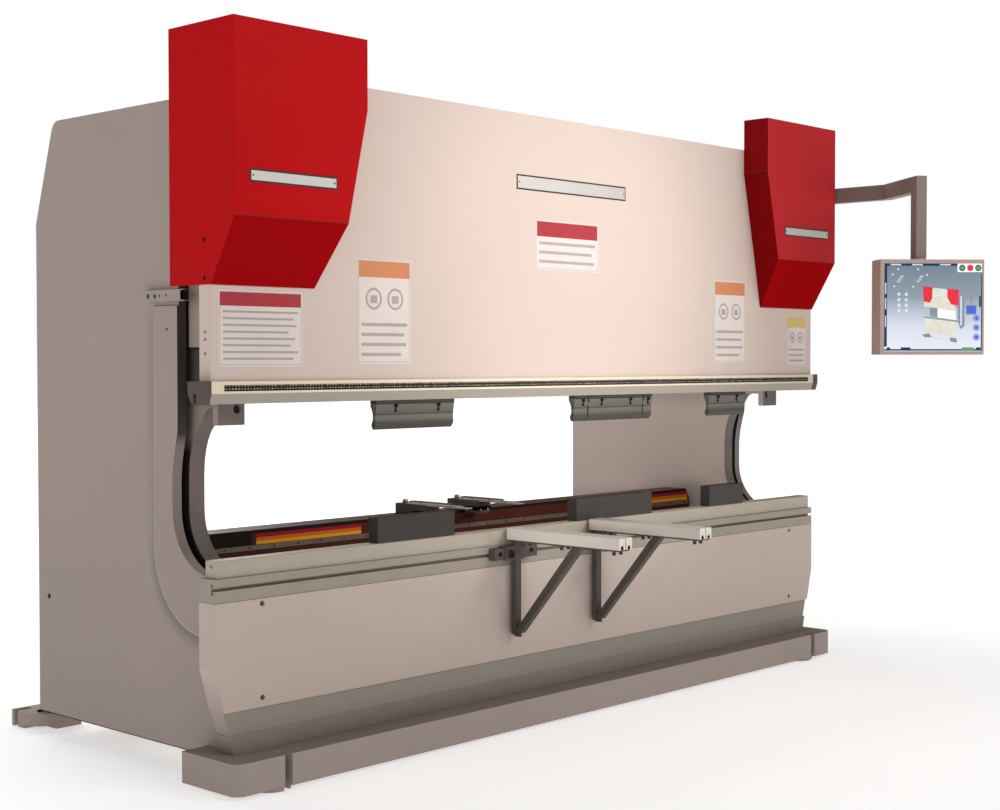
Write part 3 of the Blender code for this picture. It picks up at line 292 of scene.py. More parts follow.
def outer_paint(name, inward):
    """Outer plate: a painted shadow beside the doubler's rear edge, a painted highlight along that edge, and painted
    shade, near black, on the front edge and in the gap.
    """
    m = paint(name, (0.375, 0.313, 0.280), 0.55, spread=0.03, dust=0.03, grime_and_shade=0.05)
    col = m.p.inputs["Base Color"].links[0].from_socket
    y, z = m.axis(1), m.axis(2)
    # painted shadow beside the doubler's rear edge, and a painted highlight along that edge
    dy = m.math("MAXIMUM", m.math("ADD", y, 0.09805), 0.0)
    dz = m.math("MINIMUM", m.math("SUBTRACT", z, 0.796), 0.0)
    r = m.math("SQRT", m.math("ADD", m.math("MULTIPLY", dy, dy), m.math("MULTIPLY", dz, dz)), None)
    reach = m.span(z, 1.600, 1.645, 1.0, 0.0)
    fall = m.math("MULTIPLY", m.span(r, 0.300, 0.356, 1.0, 0.0), m.math("GREATER_THAN", r, 0.2995))
    grime_and_shade = m.math("MULTIPLY", m.math("MULTIPLY", fall, reach), m.span(z, 0.60, 0.85, 0.62, 0.26))
    col = m.mix(grime_and_shade, col, (0.105, 0.088, 0.080))
    rim_highlight = m.math("MULTIPLY", m.span(r, 0.287, 0.298, 0.0, 0.45), m.math("LESS_THAN", r, 0.3015))
    col = m.mix(m.math("MULTIPLY", m.math("MULTIPLY", rim_highlight, reach), m.span(z, 0.60, 0.85, 1.0, 0.25)), col, (0.520, 0.440, 0.400))
    # painted shade: the side facing into the gap, and the front edge, are near black
    nrm = facing(m)
    gap = m.span(m.math("MULTIPLY", nrm[0], float(inward)), 0.45, 0.75, 0.0, 1.0)
    front = m.math("MULTIPLY", m.span(nrm[1], -0.80, -0.50, 1.0, 0.0), m.span(z, 1.156, 1.200, 0.35, 0.92))
    m.base(m.mix(m.math("MAXIMUM", gap, front), col, SHADE_BLACK))
    return m


INNER_L = inner_paint("throat_plate_paint_left", -1)
INNER_R = inner_paint("throat_plate_paint_right", 1)
OUTER_L = outer_paint("side_plate_paint_left", 1)
OUTER_R = outer_paint("side_plate_paint_right", -1)
TANP = paint("pendant_tan_paint", (0.480, 0.365, 0.325), 0.48, spread=0.03)
TUBEP = paint("pendant_tube_paint", (0.245, 0.200, 0.178), 0.48, spread=0.04)
BLACKP = paint("black_paint", (0.098, 0.080, 0.072), 0.50, spread=0.12, grime_and_shade=0.3, peel=0.2, spec=0.1)
BROWN = paint("gauge_brown_paint", (0.072, 0.016, 0.009), 0.42, spread=0.12, spec=0.12)
DARKCAP = paint("cap_grey_paint", (0.102, 0.085, 0.079), 0.50, spread=0.06)
STEEL = steel("table_steel", (0.360, 0.318, 0.262), 0.45, metal=0.15)
RAILST = steel("rail_steel_ground", (0.470, 0.415, 0.335), 0.42, metal=0.15)
TOOL = steel("punch_steel", (0.145, 0.131, 0.114), 0.42, metal=0.20, spread=0.14, stain=0.08)
DIEST = steel("die_steel", (0.052, 0.047, 0.041), 0.44, metal=0.20, spread=0.16, stain=0.10)
PLATEST = steel("finger_steel", (0.420, 0.380, 0.330), 0.34, grain=(900, 6, 900), metal=0.4)
ALU = steel("aluminium", (0.760, 0.705, 0.640), 0.40, grain=(900, 6, 900), metal=0.15, stain=0.02, spread=0.04)
CHROME = steel("chrome_rod", (0.75, 0.75, 0.75), 0.16, grain=(900, 900, 8), metal=1.0, stain=0.03, spread=0.03)
BOLT = steel("bolt_black", (0.016, 0.014, 0.013), 0.50, grain=(300, 300, 300), metal=0.1, spread=0.2, spec=0.06)
ZINC = steel("bolt_zinc", (0.30, 0.28, 0.25), 0.40, grain=(300, 300, 300), metal=0.5, spread=0.12)

# punches: painted reflections, light and dark bands across the blade's height for its hollows and lands
rel = TOOL.math("SUBTRACT", TOOL.axis(2), 1.386 - 0.185)
tone = TOOL.ramp(TOOL.span(rel, 0.0, 0.108, 0.0, 1.0),
                 [(0.00, (0.45, 0.45, 0.45)), (0.24, (0.50, 0.50, 0.50)), (0.33, (0.95, 0.95, 0.95)), (0.46, (1.10, 1.10, 1.10)),
                  (0.52, (0.40, 0.40, 0.40)), (0.57, (0.80, 0.80, 0.80)), (0.84, (1.0, 1.0, 1.0)), (0.91, (0.35, 0.35, 0.35)),
                  (1.00, (0.30, 0.30, 0.30))])
old = TOOL.p.inputs["Base Color"].links[0].from_socket
TOOL.base(TOOL.mix(1.0, old, tone, "MULTIPLY"))

# clamp bar: bright upper land, duller bevel below
m = Mat("clamp_bar_steel", metal=0.10, spec=0.25)
lines = m.noise(1.0, 4.0, 0.65, m.scaled(6, 900, 900))
hi = m.ramp(lines, [(0.25, (0.74, 0.63, 0.47)), (0.75, (0.84, 0.74, 0.58))])
lo_ = m.ramp(lines, [(0.25, (0.330, 0.290, 0.245)), (0.75, (0.395, 0.350, 0.300))])
rel = m.math("SUBTRACT", m.axis(2), 1.386)
band = m.span(rel, -0.0425, -0.0415, 0.0, 1.0)
m.base(m.mix(band, lo_, hi))
m.rough(m.span(m.noise(3.0, 5.0, 0.6), 0.3, 0.7, 0.34, 0.50))
m.bump(lines, 0.18, 0.0004)
BAR = m

# measuring strip: dark tape with a fine two-row pattern of pale cells
m = Mat("measuring_strip", spec=0.12)
bx = m.scaled(1, 1, 1)
n = m.node("ShaderNodeTexBrick", Scale=1.0)
n.offset = 0.5
n.inputs["Color1"].default_value = (0.560, 0.500, 0.420, 1)
n.inputs["Color2"].default_value = (0.150, 0.135, 0.115, 1)
n.inputs["Mortar"].default_value = (0.014, 0.013, 0.012, 1)
n.inputs["Mortar Size"].default_value = 0.0034
n.inputs["Brick Width"].default_value = 0.0130
n.inputs["Row Height"].default_value = 0.0105
sw = m.t.nodes.new("ShaderNodeCombineXYZ")
sx = m.t.nodes.new("ShaderNodeSeparateXYZ")
m.link(m.coord, sx.inputs[0])
m.link(m.math("ADD", sx.outputs[0], m.math("MULTIPLY", sx.outputs[2], 0.55)), sw.inputs[0])
m.link(sx.outputs[2], sw.inputs[1])
m.link(sw.outputs[0], n.inputs["Vector"])
m.base(n.outputs["Color"])
m.rough(m.span(m.noise(30.0), 0.3, 0.7, 0.40, 0.60))
m.bump(n.outputs["Fac"], -0.35, 0.0008)
TAPE = m

# printed sheet stock for the blank panels
def card(name, col, rough=0.40):
    m = Mat(name, spec=0.12)
    n1 = m.noise(9.0, 4.0, 0.6)
    m.base(m.ramp(n1, [(0.3, shade(col, 0.96)), (0.7, shade(col, 1.03))]))
    m.rough(m.span(n1, 0.3, 0.7, rough - 0.05, rough + 0.08))
    m.bump(m.noise(60.0, 3.0, 0.6), 0.06, 0.0004)
    return m


CARD = card("panel_white", (0.72, 0.64, 0.60))
CARD_RED = card("panel_red", (0.40, 0.045, 0.055))
CARD_ORANGE = card("panel_orange", (0.62, 0.245, 0.110))
CARD_YELLOW = card("panel_yellow", (0.66, 0.50, 0.16))
CARD_GREY = card("panel_grey", (0.42, 0.37, 0.35))
PLAQUE = steel("plaque_metal", (0.62, 0.60, 0.57), 0.35, grain=(6, 900, 900), metal=0.4, stain=0.02, spread=0.05)
PLAQUE_EDGE = card("plaque_edge", (0.045, 0.040, 0.040), 0.4)
STR_PINK = card("stripe_pink", (0.30, 0.012, 0.022), 0.35)
STR_ORANGE = card("stripe_orange", (0.62, 0.13, 0.012), 0.35)
STR_YELLOW = card("stripe_yellow", (0.75, 0.36, 0.015), 0.35)
STR_BLACK = card("stripe_black", (0.010, 0.008, 0.008), 0.35)
RUBBER = card("black_rubber", (0.020, 0.019, 0.018), 0.65)
PLASTIC = card("grey_plastic", (0.20, 0.19, 0.18), 0.45)
GLASSLENS = card("sight_glass", (0.30, 0.42, 0.20), 0.12)

# display: pale gradient page under a clear sheet
m = Mat("display", spec=0.2, coat=0.15, coat_rough=0.08)
z01 = m.span(m.axis(2), 1.386 + 0.110, 1.386 + 0.510, 0.0, 1.0)
z01 = m.math("ADD", z01, m.span(m.noise(1.6, 2.0, 0.5), 0.3, 0.7, -0.05, 0.05))
page = m.ramp(z01, [(0.0, (0.70, 0.73, 0.82)), (0.26, (0.60, 0.64, 0.73)), (0.48, (0.39, 0.45, 0.53)), (0.62, (0.24, 0.29, 0.35)), (1.0, (0.150, 0.200, 0.255))])
m.base(page)
m.link(page, m.p.inputs["Emission Color"])
m.p.inputs["Emission Strength"].default_value = 0.34
m.rough(m.span(m.noise(12.0), 0.3, 0.7, 0.16, 0.24))
DISPLAY = m


def ui(name, col, glow=0.42):
    m = Mat(name, spec=0.15)
    n1 = m.noise(40.0, 2.0, 0.5)
    c = m.ramp(n1, [(0.3, shade(col, 0.92)), (0.7, shade(col, 1.05))])
    m.base(c)
    m.link(c, m.p.inputs["Emission Color"])
    m.p.inputs["Emission Strength"].default_value = glow
    m.rough(m.span(n1, 0.3, 0.7, 0.18, 0.26))
    return m


UI_BLUE = ui("ui_blue", (0.055, 0.120, 0.560))
UI_RED = ui("ui_red", (0.66, 0.030, 0.045))
UI_DARK = ui("ui_dark", (0.018, 0.040, 0.105), 0.2)
UI_WHITE = ui("ui_white", (0.85, 0.86, 0.84))
UI_BEIGE = ui("ui_beige", (0.62, 0.60, 0.52))
UI_GREY = ui("ui_grey", (0.55, 0.62, 0.69))
UI_STEEL = ui("ui_steel", (0.20, 0.25, 0.29))
UI_GREEN = ui("ui_green", (0.10, 0.28, 0.14))


def paint_node(name, *mats):
    o = NODES[name]
    o.data.materials.clear()
    for mm in mats:
        o.data.materials.append(mm.m)
    for poly in o.data.polygons:
        poly.material_index = 0


ASSIGN = {
    "outer_plate_left": OUTER_L, "outer_plate_right": OUTER_R, "inner_plate_left": INNER_L, "inner_plate_right": INNER_R, "gib_": GREY, "scale_arm_": GREY, "rear_": GREY, "base_beam": BEAMP,
    "bed_skirt": STRIP, "hydraulic_tank": GREY, "gauge_support_": GREY, "cabinet_shell": GREY, "cabinet_door": GREY,
    "pendant_bracket": GREY, "ram_plate": BEIGE, "bed_plate": BEDP, "cover_": RED, "cover_right": RED_R_SHADED, "switch_handle": RED,
    "clamp_bar": BAR, "bed_table": STEEL, "die_rail": RAILST, "ball_screw_": STEEL, "cabinet_backplate": STEEL,
    "valve_manifold": STEEL, "punch_": TOOL, "die_1": DIEST, "die_2": DIEST, "die_3": DIEST, "bar_cap_": DARKCAP,
    "arm_rail_": ALU, "arm_bracket_": BLACKP, "gauge_carriage_": BLACKP, "gauge_finger_": BLACKP, "pump_motor": BLACKP,
    "cylinder_": BLACKP, "piston_rod_": CHROME, "gauge_beam": BROWN, "pendant_arm": TUBEP, "pendant_box": TANP,
    "touch_screen": DISPLAY,
}
for name in NODES:
    hit = [k for k in ASSIGN if name.startswith(k)]
    paint_node(name, ASSIGN[max(hit, key=len)])

NODES["bed_skirt"].data.materials.append(BEDP.m)
for poly in NODES["bed_skirt"].data.polygons:
    if abs(poly.normal.x) > 0.9 or poly.normal.z > 0.9:
        poly.material_index = 1

# ------------------------------------------------------------------ mesh helpers
def add_box(bm, lo, hi, mi=0, bevel=0.0):
    made = bmesh.ops.create_cube(bm, size=1.0)["verts"]
    for v in made:
        v.co = Vector([lo[i] + (v.co[i] + 0.5) * (hi[i] - lo[i]) for i in range(3)])
    faces = {f for v in made for f in v.link_faces}
    for f in faces:
        f.material_index = mi
    if bevel:
        edges = {e for v in made for e in v.link_edges}
        res = bmesh.ops.bevel(bm, geom=list(edges), offset=bevel, segments=2, profile=0.6, affect="EDGES")
        for f in res["faces"]:
            f.material_index = mi
    return made


def frame_of(axis):
    a = Vector(axis).normalized()
    b = a.orthogonal().normalized()
    return a, b, a.cross(b)


def add_turned(bm, at, axis, profile, mi=0, seg=24, turn=0.0, smooth=True):
    """Turns a (radius, height) profile about an axis through at; first and last radius may be 0."""
    a, b, c = frame_of(axis)
    at = Vector(at)
    rings = []
    for r, h in profile:
        if r < 1e-9:
            rings.append([bm.verts.new(at + a * h)])
        else:
            rings.append([bm.verts.new(at + a * h + (b * math.cos(t) + c * math.sin(t)) * r)
                          for t in (turn + 2 * math.pi * i / seg for i in range(seg))])
    out = []
    for p, q in zip(rings, rings[1:]):
        for i in range(seg):
            j = (i + 1) % seg
            if len(p) == 1 and len(q) == 1:
                continue
            if len(p) == 1:
                f = bm.faces.new((p[0], q[i], q[j]))
            elif len(q) == 1:
                f = bm.faces.new((p[i], q[0], p[j]))
            else:
                f = bm.faces.new((p[i], q[i], q[j], p[j]))
            f.material_index = mi
            f.smooth = smooth
            out.append(f)
    return out


def hex_bolt(bm, at, axis, r=0.009, h=0.006, mi=0, washer=None):
    if washer is not None:
        add_turned(bm, at, axis, [(0, 0), (r * 1.35, 0), (r * 1.40, 0.0006), (r * 1.35, 0.0016), (0, 0.0016)], washer, 20)
        at = Vector(at) + Vector(axis).normalized() * 0.0016
    add_turned(bm, at, axis, [(0, 0), (r, 0), (r, h * 0.82), (r * 0.86, h), (0, h)], mi, 6, smooth=False)


def cap_screw(bm, at, axis, r=0.008, h=0.008, mi=0, socket=1):
    add_turned(bm, at, axis, [(0, 0), (r, 0), (r, h * 0.88), (r * 0.90, h), (r * 0.5, h), (r * 0.46, h * 0.45), (0, h * 0.45)],
               mi, 20)


def dome(bm, at, axis, r=0.007, h=0.003, mi=0):
    add_turned(bm, at, axis, [(0, 0), (r, 0), (r * 0.97, h * 0.35), (r * 0.80, h * 0.75), (r * 0.5, h * 0.94), (0, h)], mi, 20)


def piece(name, build, mats, body="frame", smooth=None, bevel=None):
    bm = bmesh.new()
    build(bm)
    bmesh.ops.recalc_face_normals(bm, faces=bm.faces)
    me = bpy.data.meshes.new(name)
    bm.to_mesh(me)
    bm.free()
    for mm in mats:
        me.materials.append(mm.m)
    o = bpy.data.objects.new(name, me)
    bpy.context.scene.collection.objects.link(o)
    if smooth:
        me.shade_smooth()
        me.set_sharp_from_angle(angle=math.radians(smooth))
    if bevel:
        b = o.modifiers.new("edges", "BEVEL")
        b.width = bevel
        b.segments = 2
        b.limit_method = "ANGLE"
        b.angle_limit = math.radians(35)
    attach(o, body)
    return o


def mx(side, u):
    """Machine X of a distance u in from the left (-1) or right (+1) end of the ram."""
    return u if side < 0 else L - u


SIDES = ((-1, "left"), (1, "right"))


def tube(name, pts, r, mat_, body="frame", bend=0.05):
    cu = bpy.data.curves.new(name, "CURVE")
    cu.dimensions = "3D"
    cu.bevel_depth = r
    cu.bevel_resolution = 5
    cu.use_fill_caps = True
    pts = [W(*p) for p in pts]
    path = [pts[0]]
    for a, b, c in zip(pts, pts[1:], pts[2:]):
        k = min(bend, (b - a).length * 0.45, (c - b).length * 0.45)
        p, q = b + (a - b).normalized() * k, b + (c - b).normalized() * k
        for i in range(7):
            t = i / 6
            path.append(p * (1 - t) ** 2 + b * 2 * t * (1 - t) + q * t ** 2)
    path.append(pts[-1])
    sp = cu.splines.new("POLY")
    sp.points.add(len(path) - 1)
    for pt, v in zip(sp.points, path):
        pt.co = (*v, 1.0)
    cu.materials.append(mat_.m)
    o = bpy.data.objects.new(name, cu)
    bpy.context.scene.collection.objects.link(o)
    bpy.context.view_layer.update()
    me = bpy.data.meshes.new_from_object(o.evaluated_get(bpy.context.evaluated_depsgraph_get()))
    me.name = name
    me.shade_smooth()
    bpy.data.objects.remove(o)
    o = bpy.data.objects.new(name, me)
    bpy.context.scene.collection.objects.link(o)
    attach(o, body)
    return o

# ------------------------------------------------------------------ ram: measuring strip, blank panels, tooling detail
FACE = 0.0
piece("measuring_strip", lambda bm: add_box(bm, W(0.0467, -0.0121, -0.0340), W(3.6186, -0.0110, -0.0130)), [TAPE], "ram")


def panel(name, x0, x1, z0, z1, head, head_h, rows, body="ram", y=0.0, pict=False):
    """A blank notice plate: pale sheet, plain coloured band, thin border and grey bars; it carries no words or signs."""
    def build(bm):
        add_box(bm, W(x0, y - 0.0009, z0), W(x1, y + 0.0002, z1), 0, 0.0003)
        b = 0.006
        w = x1 - x0
        for lo, hi in ((W(x0 + b, 0, z0 + b), W(x1 - b, 0, z0 + b + 0.0016)), (W(x0 + b, 0, z1 - b - 0.0016), W(x1 - b, 0, z1 - b)),
                       (W(x0 + b, 0, z0 + b), W(x0 + b + 0.0016, 0, z1 - b)), (W(x1 - b - 0.0016, 0, z0 + b), W(x1 - b, 0, z1 - b))):
            add_box(bm, Vector((lo.x, OFF.y + y - 0.0011, lo.z)), Vector((hi.x, OFF.y + y - 0.0006, hi.z)), 2)
        add_box(bm, W(x0 + b + 0.002, y - 0.0012, z1 - b - 0.002 - head_h), W(x1 - b - 0.002, y - 0.0005, z1 - b - 0.002), 1)
        top = z1 - b - 0.010 - head_h
        bottom = z0 + b + 0.010
        if pict:
            mid = top - (top - bottom) * 0.48
            for i in (0, 1):
                cx = x0 + w * (0.30 + 0.40 * i)
                cz = (top + mid) / 2
                r = min(w * 0.15, (top - mid) * 0.42)
                add_turned(bm, W(cx, y - 0.0004, cz), (0, -1, 0), [(r * 0.78, 0.0), (r * 0.78, 0.0008), (r, 0.0008), (r, 0.0)], 2, 28)
                add_box(bm, W(cx - r * 0.42, y - 0.0012, cz - r * 0.40), W(cx + r * 0.42, y - 0.0005, cz + r * 0.30), 2)
            top = mid - 0.006
        pitch = (top - bottom) / max(rows, 1)
        for i in range(rows):
            zc = top - pitch * (i + 0.5)
            cut_ = (0.0, 0.06, 0.02, 0.12, 0.04, 0.09)[i % 6]
            add_box(bm, W(x0 + b + 0.014, y - 0.0011, zc - pitch * 0.16), W(x1 - b - 0.014 - w * cut_, y - 0.0006, zc + pitch * 0.16), 2)
    return piece(name, build, [CARD, head, CARD_GREY], body)


panel("notice_left", 0.030, 0.394, 0.048, 0.307, CARD_RED, 0.046, 8)
panel("notice_left_mid", 0.650, 0.917, 0.057, 0.438, CARD_ORANGE, 0.058, 4, pict=True)
panel("notice_centre", 1.614, 2.008, 0.437, 0.640, CARD_RED, 0.060, 3)
panel("notice_right_mid", 2.840, 3.092, 0.060, 0.438, CARD_ORANGE, 0.058, 4, pict=True)
panel("notice_right", 3.440, 3.6155, 0.039, 0.285, CARD_YELLOW, 0.048, 3, pict=True)


def plaque(name, x0, x1, z0, z1, y, body):
    def build(bm):
        add_box(bm, W(x0, y - 0.0016, z0), W(x1, y + 0.0004, z1), 1, 0.0005)
        add_box(bm, W(x0 + 0.006, y - 0.0024, z0 + 0.006), W(x1 - 0.006, y - 0.0010, z1 - 0.006), 0, 0.0004)
        for xx in (x0 + 0.014, x1 - 0.014):
            dome(bm, W(xx, y - 0.0022, (z0 + z1) / 2), (0, -1, 0), 0.0035, 0.0012, 1)
    return piece(name, build, [PLAQUE, PLAQUE_EDGE], body)


plaque("plaque_ram", 1.500, 2.190, 0.752, 0.812, 0.0, "ram")
plaque("plaque_cover_left", 0.060, 0.440, 0.656, 0.700, -0.134, "frame")
plaque("plaque_cover_right", L - 0.440, L - 0.060, 0.656, 0.700, -0.134, "frame")


def punch_bits(bm, x0, x1, bolts):
    for x in bolts:
        cap_screw(bm, W(x, 0.0072, -0.0975), (0, -1, 0), 0.0068, 0.006, 0)
        add_box(bm, W(x - 0.0022, 0.0060, -0.1130), W(x + 0.0022, 0.0120, -0.1045), 0, 0.0006)
        cap_screw(bm, W(x + 0.001, 0.0105, -0.1170), (0, -1, 0), 0.0048, 0.004, 0)
    # parting groove under the top land
    add_box(bm, W(x0 + 0.001, 0.0052, -0.0905), W(x1 - 0.001, 0.0064, -0.0893), 0)


piece("punch_1_screws", lambda bm: punch_bits(bm, 0.7485, 1.153, (0.846, 1.068)), [BOLT], "ram")
def parting(bm, x):
    add_box(bm, W(x - 0.0016, 0.0050, -0.1070), W(x + 0.0016, 0.0078, -0.0580), 0)
    add_box(bm, W(x - 0.0016, 0.0105, -0.1680), W(x + 0.0016, 0.0150, -0.1140), 0)


piece("punch_2_screws", lambda bm: (parting(bm, 1.95575), parting(bm, 2.32575), punch_bits(bm, 1.866, 1.9555, (1.921,)), punch_bits(bm, 1.956, 2.3255, (2.043, 2.238)),
                                    punch_bits(bm, 2.326, 2.3885, (2.361,))), [BOLT], "ram")
piece("punch_3_screws", lambda bm: punch_bits(bm, 2.818, 3.106, (2.885, 3.035)), [BOLT], "ram")

# plugs in the ram's end holes
def bar_screws(bm):
    for s in (-1, 1):
        for z in (0.165, 0.140, 0.092):
            x = mx(s, 0.0)
            add_turned(bm, W(x + (0.020 if s < 0 else -0.020), 0.0305, z), (-1 if s < 0 else 1, 0, 0),
                       [(0, 0), (0.0058, 0), (0.0058, 0.004), (0, 0.004)], 0, 14)


piece("ram_end_plugs", bar_screws, [BOLT], "ram")

# ------------------------------------------------------------------ covers: seams and screws
for s, tag in SIDES:
    def build(bm):
        n = (-1, 0, 0) if s < 0 else (1, 0, 0)
        xo = -0.003 if s < 0 else L + 0.003
        for z in (0.470, 0.342):
            dome(bm, W(xo, 0.030, z), n, 0.0080, 0.0028, 1)
        # folded seam where the flared top meets the body, on the inner side
        xi = mx(s, 0.582 + 0.0003)
        add_box(bm, W(min(xi, xi + (0.0012 if s < 0 else -0.0012)), -0.1325, 0.9440), W(max(xi, xi + (0.0012 if s < 0 else -0.0012)), -0.012, 0.9470), 0)
        # hairline seams of the front sheet along its folds
        add_box(bm, W(mx(s, 0.006) if s < 0 else mx(s, 0.488), -0.1344, 0.5432), W(mx(s, 0.488) if s < 0 else mx(s, 0.006), -0.1336, 0.5446), 0)
    piece("cover_trim_" + tag, build, [PLAQUE_EDGE, BOLT])

# ------------------------------------------------------------------ frame fasteners and guides
for s, tag in SIDES:
    def build(bm):
        # guide bracket bolt in its pocket
        hex_bolt(bm, W(mx(s, 0.2015), 0.1376, -0.098), (0, -1, 0), 0.0120, 0.010, 0, washer=1)
        # gib screws on its outer face
        n = (-1, 0, 0) if s < 0 else (1, 0, 0)
        x = mx(s, 0.147)
        for z in (0.150, 0.220, 0.290, 0.360):
            cap_screw(bm, W(x, 0.128, z), n, 0.0065, 0.004, 0)
        # scale arm: its screws, and a reader head at the front end drawn black, partly as painted shadow of the cover
        # on the arm's tip
        xa = mx(s, 0.085)
        lo = W(min(xa, mx(s, 0.1045)), 0.2665, 0.2795)
        hi = W(max(xa, mx(s, 0.1045)), 0.2875, 0.3155)
        add_box(bm, lo + Vector((0, 0.0002, 0)), hi, 0, 0.001)
        for y, r in ((0.479, 0.0080), (0.439, 0.0080), (0.4095, 0.0043), (0.370, 0.0043)):
            add_turned(bm, W(xa + (0.0095 if s < 0 else -0.0095), y, 0.2975), n, [(0, 0), (r, 0), (r, 0.002), (0, 0.002)], 0, 16)
        # plug in the band and the plate's rear hole
        add_turned(bm, W(mx(s, 0.1155), 1.1797, -0.842), n, [(0, 0), (0.0105, 0), (0.0105, 0.004), (0, 0.004)], 0, 18)
        # die rail end screw
        xe = mx(s, 0.018)
        cap_screw(bm, W(xe, 0.029, -0.622), n, 0.0055, 0.0025, 1)
    piece("frame_fasteners_" + tag, build, [BOLT, ZINC])


def doubler_edge(s):
    """Points of the doubler's rear boundary on the outer plate, from its foot to its top."""
    pts = [(0.0745, -0.915)]
    for i in range(25):
        a = math.radians(-72 + 72 * i / 24)
        pts.append((0.170 + 0.300 * math.cos(a), -0.590 + 0.300 * math.sin(a)))
    pts += [(0.4690, -0.30), (0.4675, 0.0), (0.4662, 0.262), (0.330, 0.262)]
    return [(mx(s, 0.1035), y, z) for y, z in pts]


# weld beads along the doubler's rear edge, painted dark as the edge's shade line
for s, tag in SIDES:
    tube("doubler_weld_" + tag, doubler_edge(s), 0.0028, WELD_SHADE_GREY, bend=0.004)


def bed_bits(bm):
    for x in (0.2025, 3.4555):
        for z in (-0.760, -1.083):
            add_turned(bm, W(x, 0.016, z), (0, -1, 0), [(0, 0), (0.0097, 0), (0.0097, 0.008), (0.005, 0.008), (0.005, 0.003), (0, 0.003)], 0, 20)
    # joint line of the table on the bed, hairline
    add_box(bm, W(0.0016, -0.0113, -0.7426), W(L - 0.0016, -0.0100, -0.7414), 0)


piece("bed_plugs", bed_bits, [BOLT])

# jack screws standing in the feet
def jack_bits(bm):
    for s in (-1, 1):
        hex_bolt(bm, W(mx(s, 0.150), 1.330, -1.3225), (0, 0, 1), 0.0105, 0.0085, 0)


piece("foot_jacks", jack_bits, [BOLT])

# ------------------------------------------------------------------ back gauge
for s, tag, u in ((-1, "left", 1.485), (1, "right", 1.797)):
    def build(bm, u=u):
        x = u
        add_box(bm, W(x - 0.040, 0.465, -0.5797), W(x + 0.042, 0.650, -0.5350), 0, 0.0015)
        add_box(bm, W(x - 0.040, 0.465, -0.5900), W(x + 0.042, 0.5415, -0.5600), 0, 0.0015)
        add_box(bm, W(x - 0.036, 0.290, -0.5390), W(x + 0.006, 0.585, -0.5300), 1, 0.0010)
        add_box(bm, W(x - 0.034, 0.236, -0.5385), W(x + 0.004, 0.300, -0.5340), 1, 0.0006)
        add_box(bm, W(x + 0.004, 0.383, -0.5405), W(x + 0.038, 0.612, -0.5272), 0, 0.0010)
        add_turned(bm, W(x - 0.018, 0.612, -0.5400), (0, 0, 1), [(0, 0), (0.0080, 0), (0.0080, 0.004), (0.0115, 0.005), (0.0115, 0.019), (0.0100, 0.0214), (0, 0.0214)], 2, 24)
        for yy in (0.34, 0.42, 0.52):
            cap_screw(bm, W(x - 0.015, yy, -0.5302), (0, 0, 1), 0.0045, 0.0022, 0)
        for yy in (0.41, 0.50, 0.585):
            cap_screw(bm, W(x + 0.021, yy, -0.5275), (0, 0, 1), 0.0045, 0.0022, 1)
        for zz in (-0.575,):
            for xx in (x - 0.022, x + 0.024):
                cap_screw(bm, W(xx, 0.4655, zz), (0, -1, 0), 0.0050, 0.003, 1)
    o = piece("finger_" + tag, build, [BLACKP, PLATEST, ZINC], "finger_l" if s < 0 else "finger_r")
    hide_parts("gauge_finger_" + tag)


def beam_bands(bm):
    y = 0.5500
    e0, e1 = 0.2585, L - 0.2585

    def strip(x0, x1, z0, z1, mi, out=0.0010):
        add_box(bm, W(x0, y - out, z0), W(x1, y + 0.0003, z1), mi)
    # full-length black line under the top edge
    strip(e0 + 0.032, e1 - 0.032, -0.5925, -0.5815, 0)
    # colour stripes at both ends of the front face
    for x0, x1 in ((0.62, 1.16), (2.93, e1 - 0.020)):
        strip(x0, x1, -0.6095, -0.5960, 1)
        strip(x0, x1, -0.6230, -0.6097, 2)
        strip(x0, x1, -0.6365, -0.6232, 3)
    # plain black field left of the stripes
    strip(e0 + 0.02, 0.60, -0.6370, -0.5935, 0)


piece("gauge_bands", beam_bands, [STR_BLACK, STR_PINK, STR_ORANGE, STR_YELLOW], "gauge_lift")


def beam_rail(bm):
    add_box(bm, W(0.277, 0.5405, -0.6562), W(L - 0.277, 0.5530, -0.6378), 0, 0.0012)
    x = 0.34
    while x < L - 0.30:
        cap_screw(bm, W(x, 0.5408, -0.647), (0, -1, 0), 0.0040, 0.0012, 1)
        x += 0.12


piece("gauge_linear_rail", beam_rail, [steel("rail_steel", (0.20, 0.17, 0.15), 0.30, metal=0.7), BOLT], "gauge_lift")

# ------------------------------------------------------------------ support arm fasteners
for tag, u in (("1", 1.466), ("2", 1.973)):
    def build(bm, u=u):
        for dx in (-0.020, 0.020):
            for y in (-0.085, -0.285, -0.545):
                hex_bolt(bm, W(u + dx, y, -0.6580), (0, 0, -1), 0.0075, 0.004, 0)
        # socket screws of the clamp jaws
        cap_screw(bm, W(u - 0.110, -0.0442, -0.692), (0, -1, 0), 0.0085, 0.004, 0)
        cap_screw(bm, W(u + 0.070, -0.0462, -0.688), (0, -1, 0), 0.0085, 0.004, 0)
        add_turned(bm, W(u - 0.060, -0.0600, -0.694), (0, -1, 0), [(0, 0), (0.016, 0), (0.0145, 0.003), (0.007, 0.003), (0.006, 0.001), (0, 0.001)], 0, 24)
        # rail end caps' screws
        add_box(bm, W(u - 0.0009, -0.5848, -0.6395), W(u + 0.0009, -0.5836, -0.5960), 0)
        for dx in (-0.020, 0.020):
            add_box(bm, W(u + dx - 0.0062, -0.5846, -0.6395), W(u + dx + 0.0062, -0.5836, -0.6290), 0, 0.0003)
            add_box(bm, W(u + dx - 0.0030, -0.5846, -0.6290), W(u + dx + 0.0030, -0.5836, -0.6235), 0, 0.0003)
    piece("arm_fasteners_" + tag, build, [BOLT], "support_arm_" + tag)

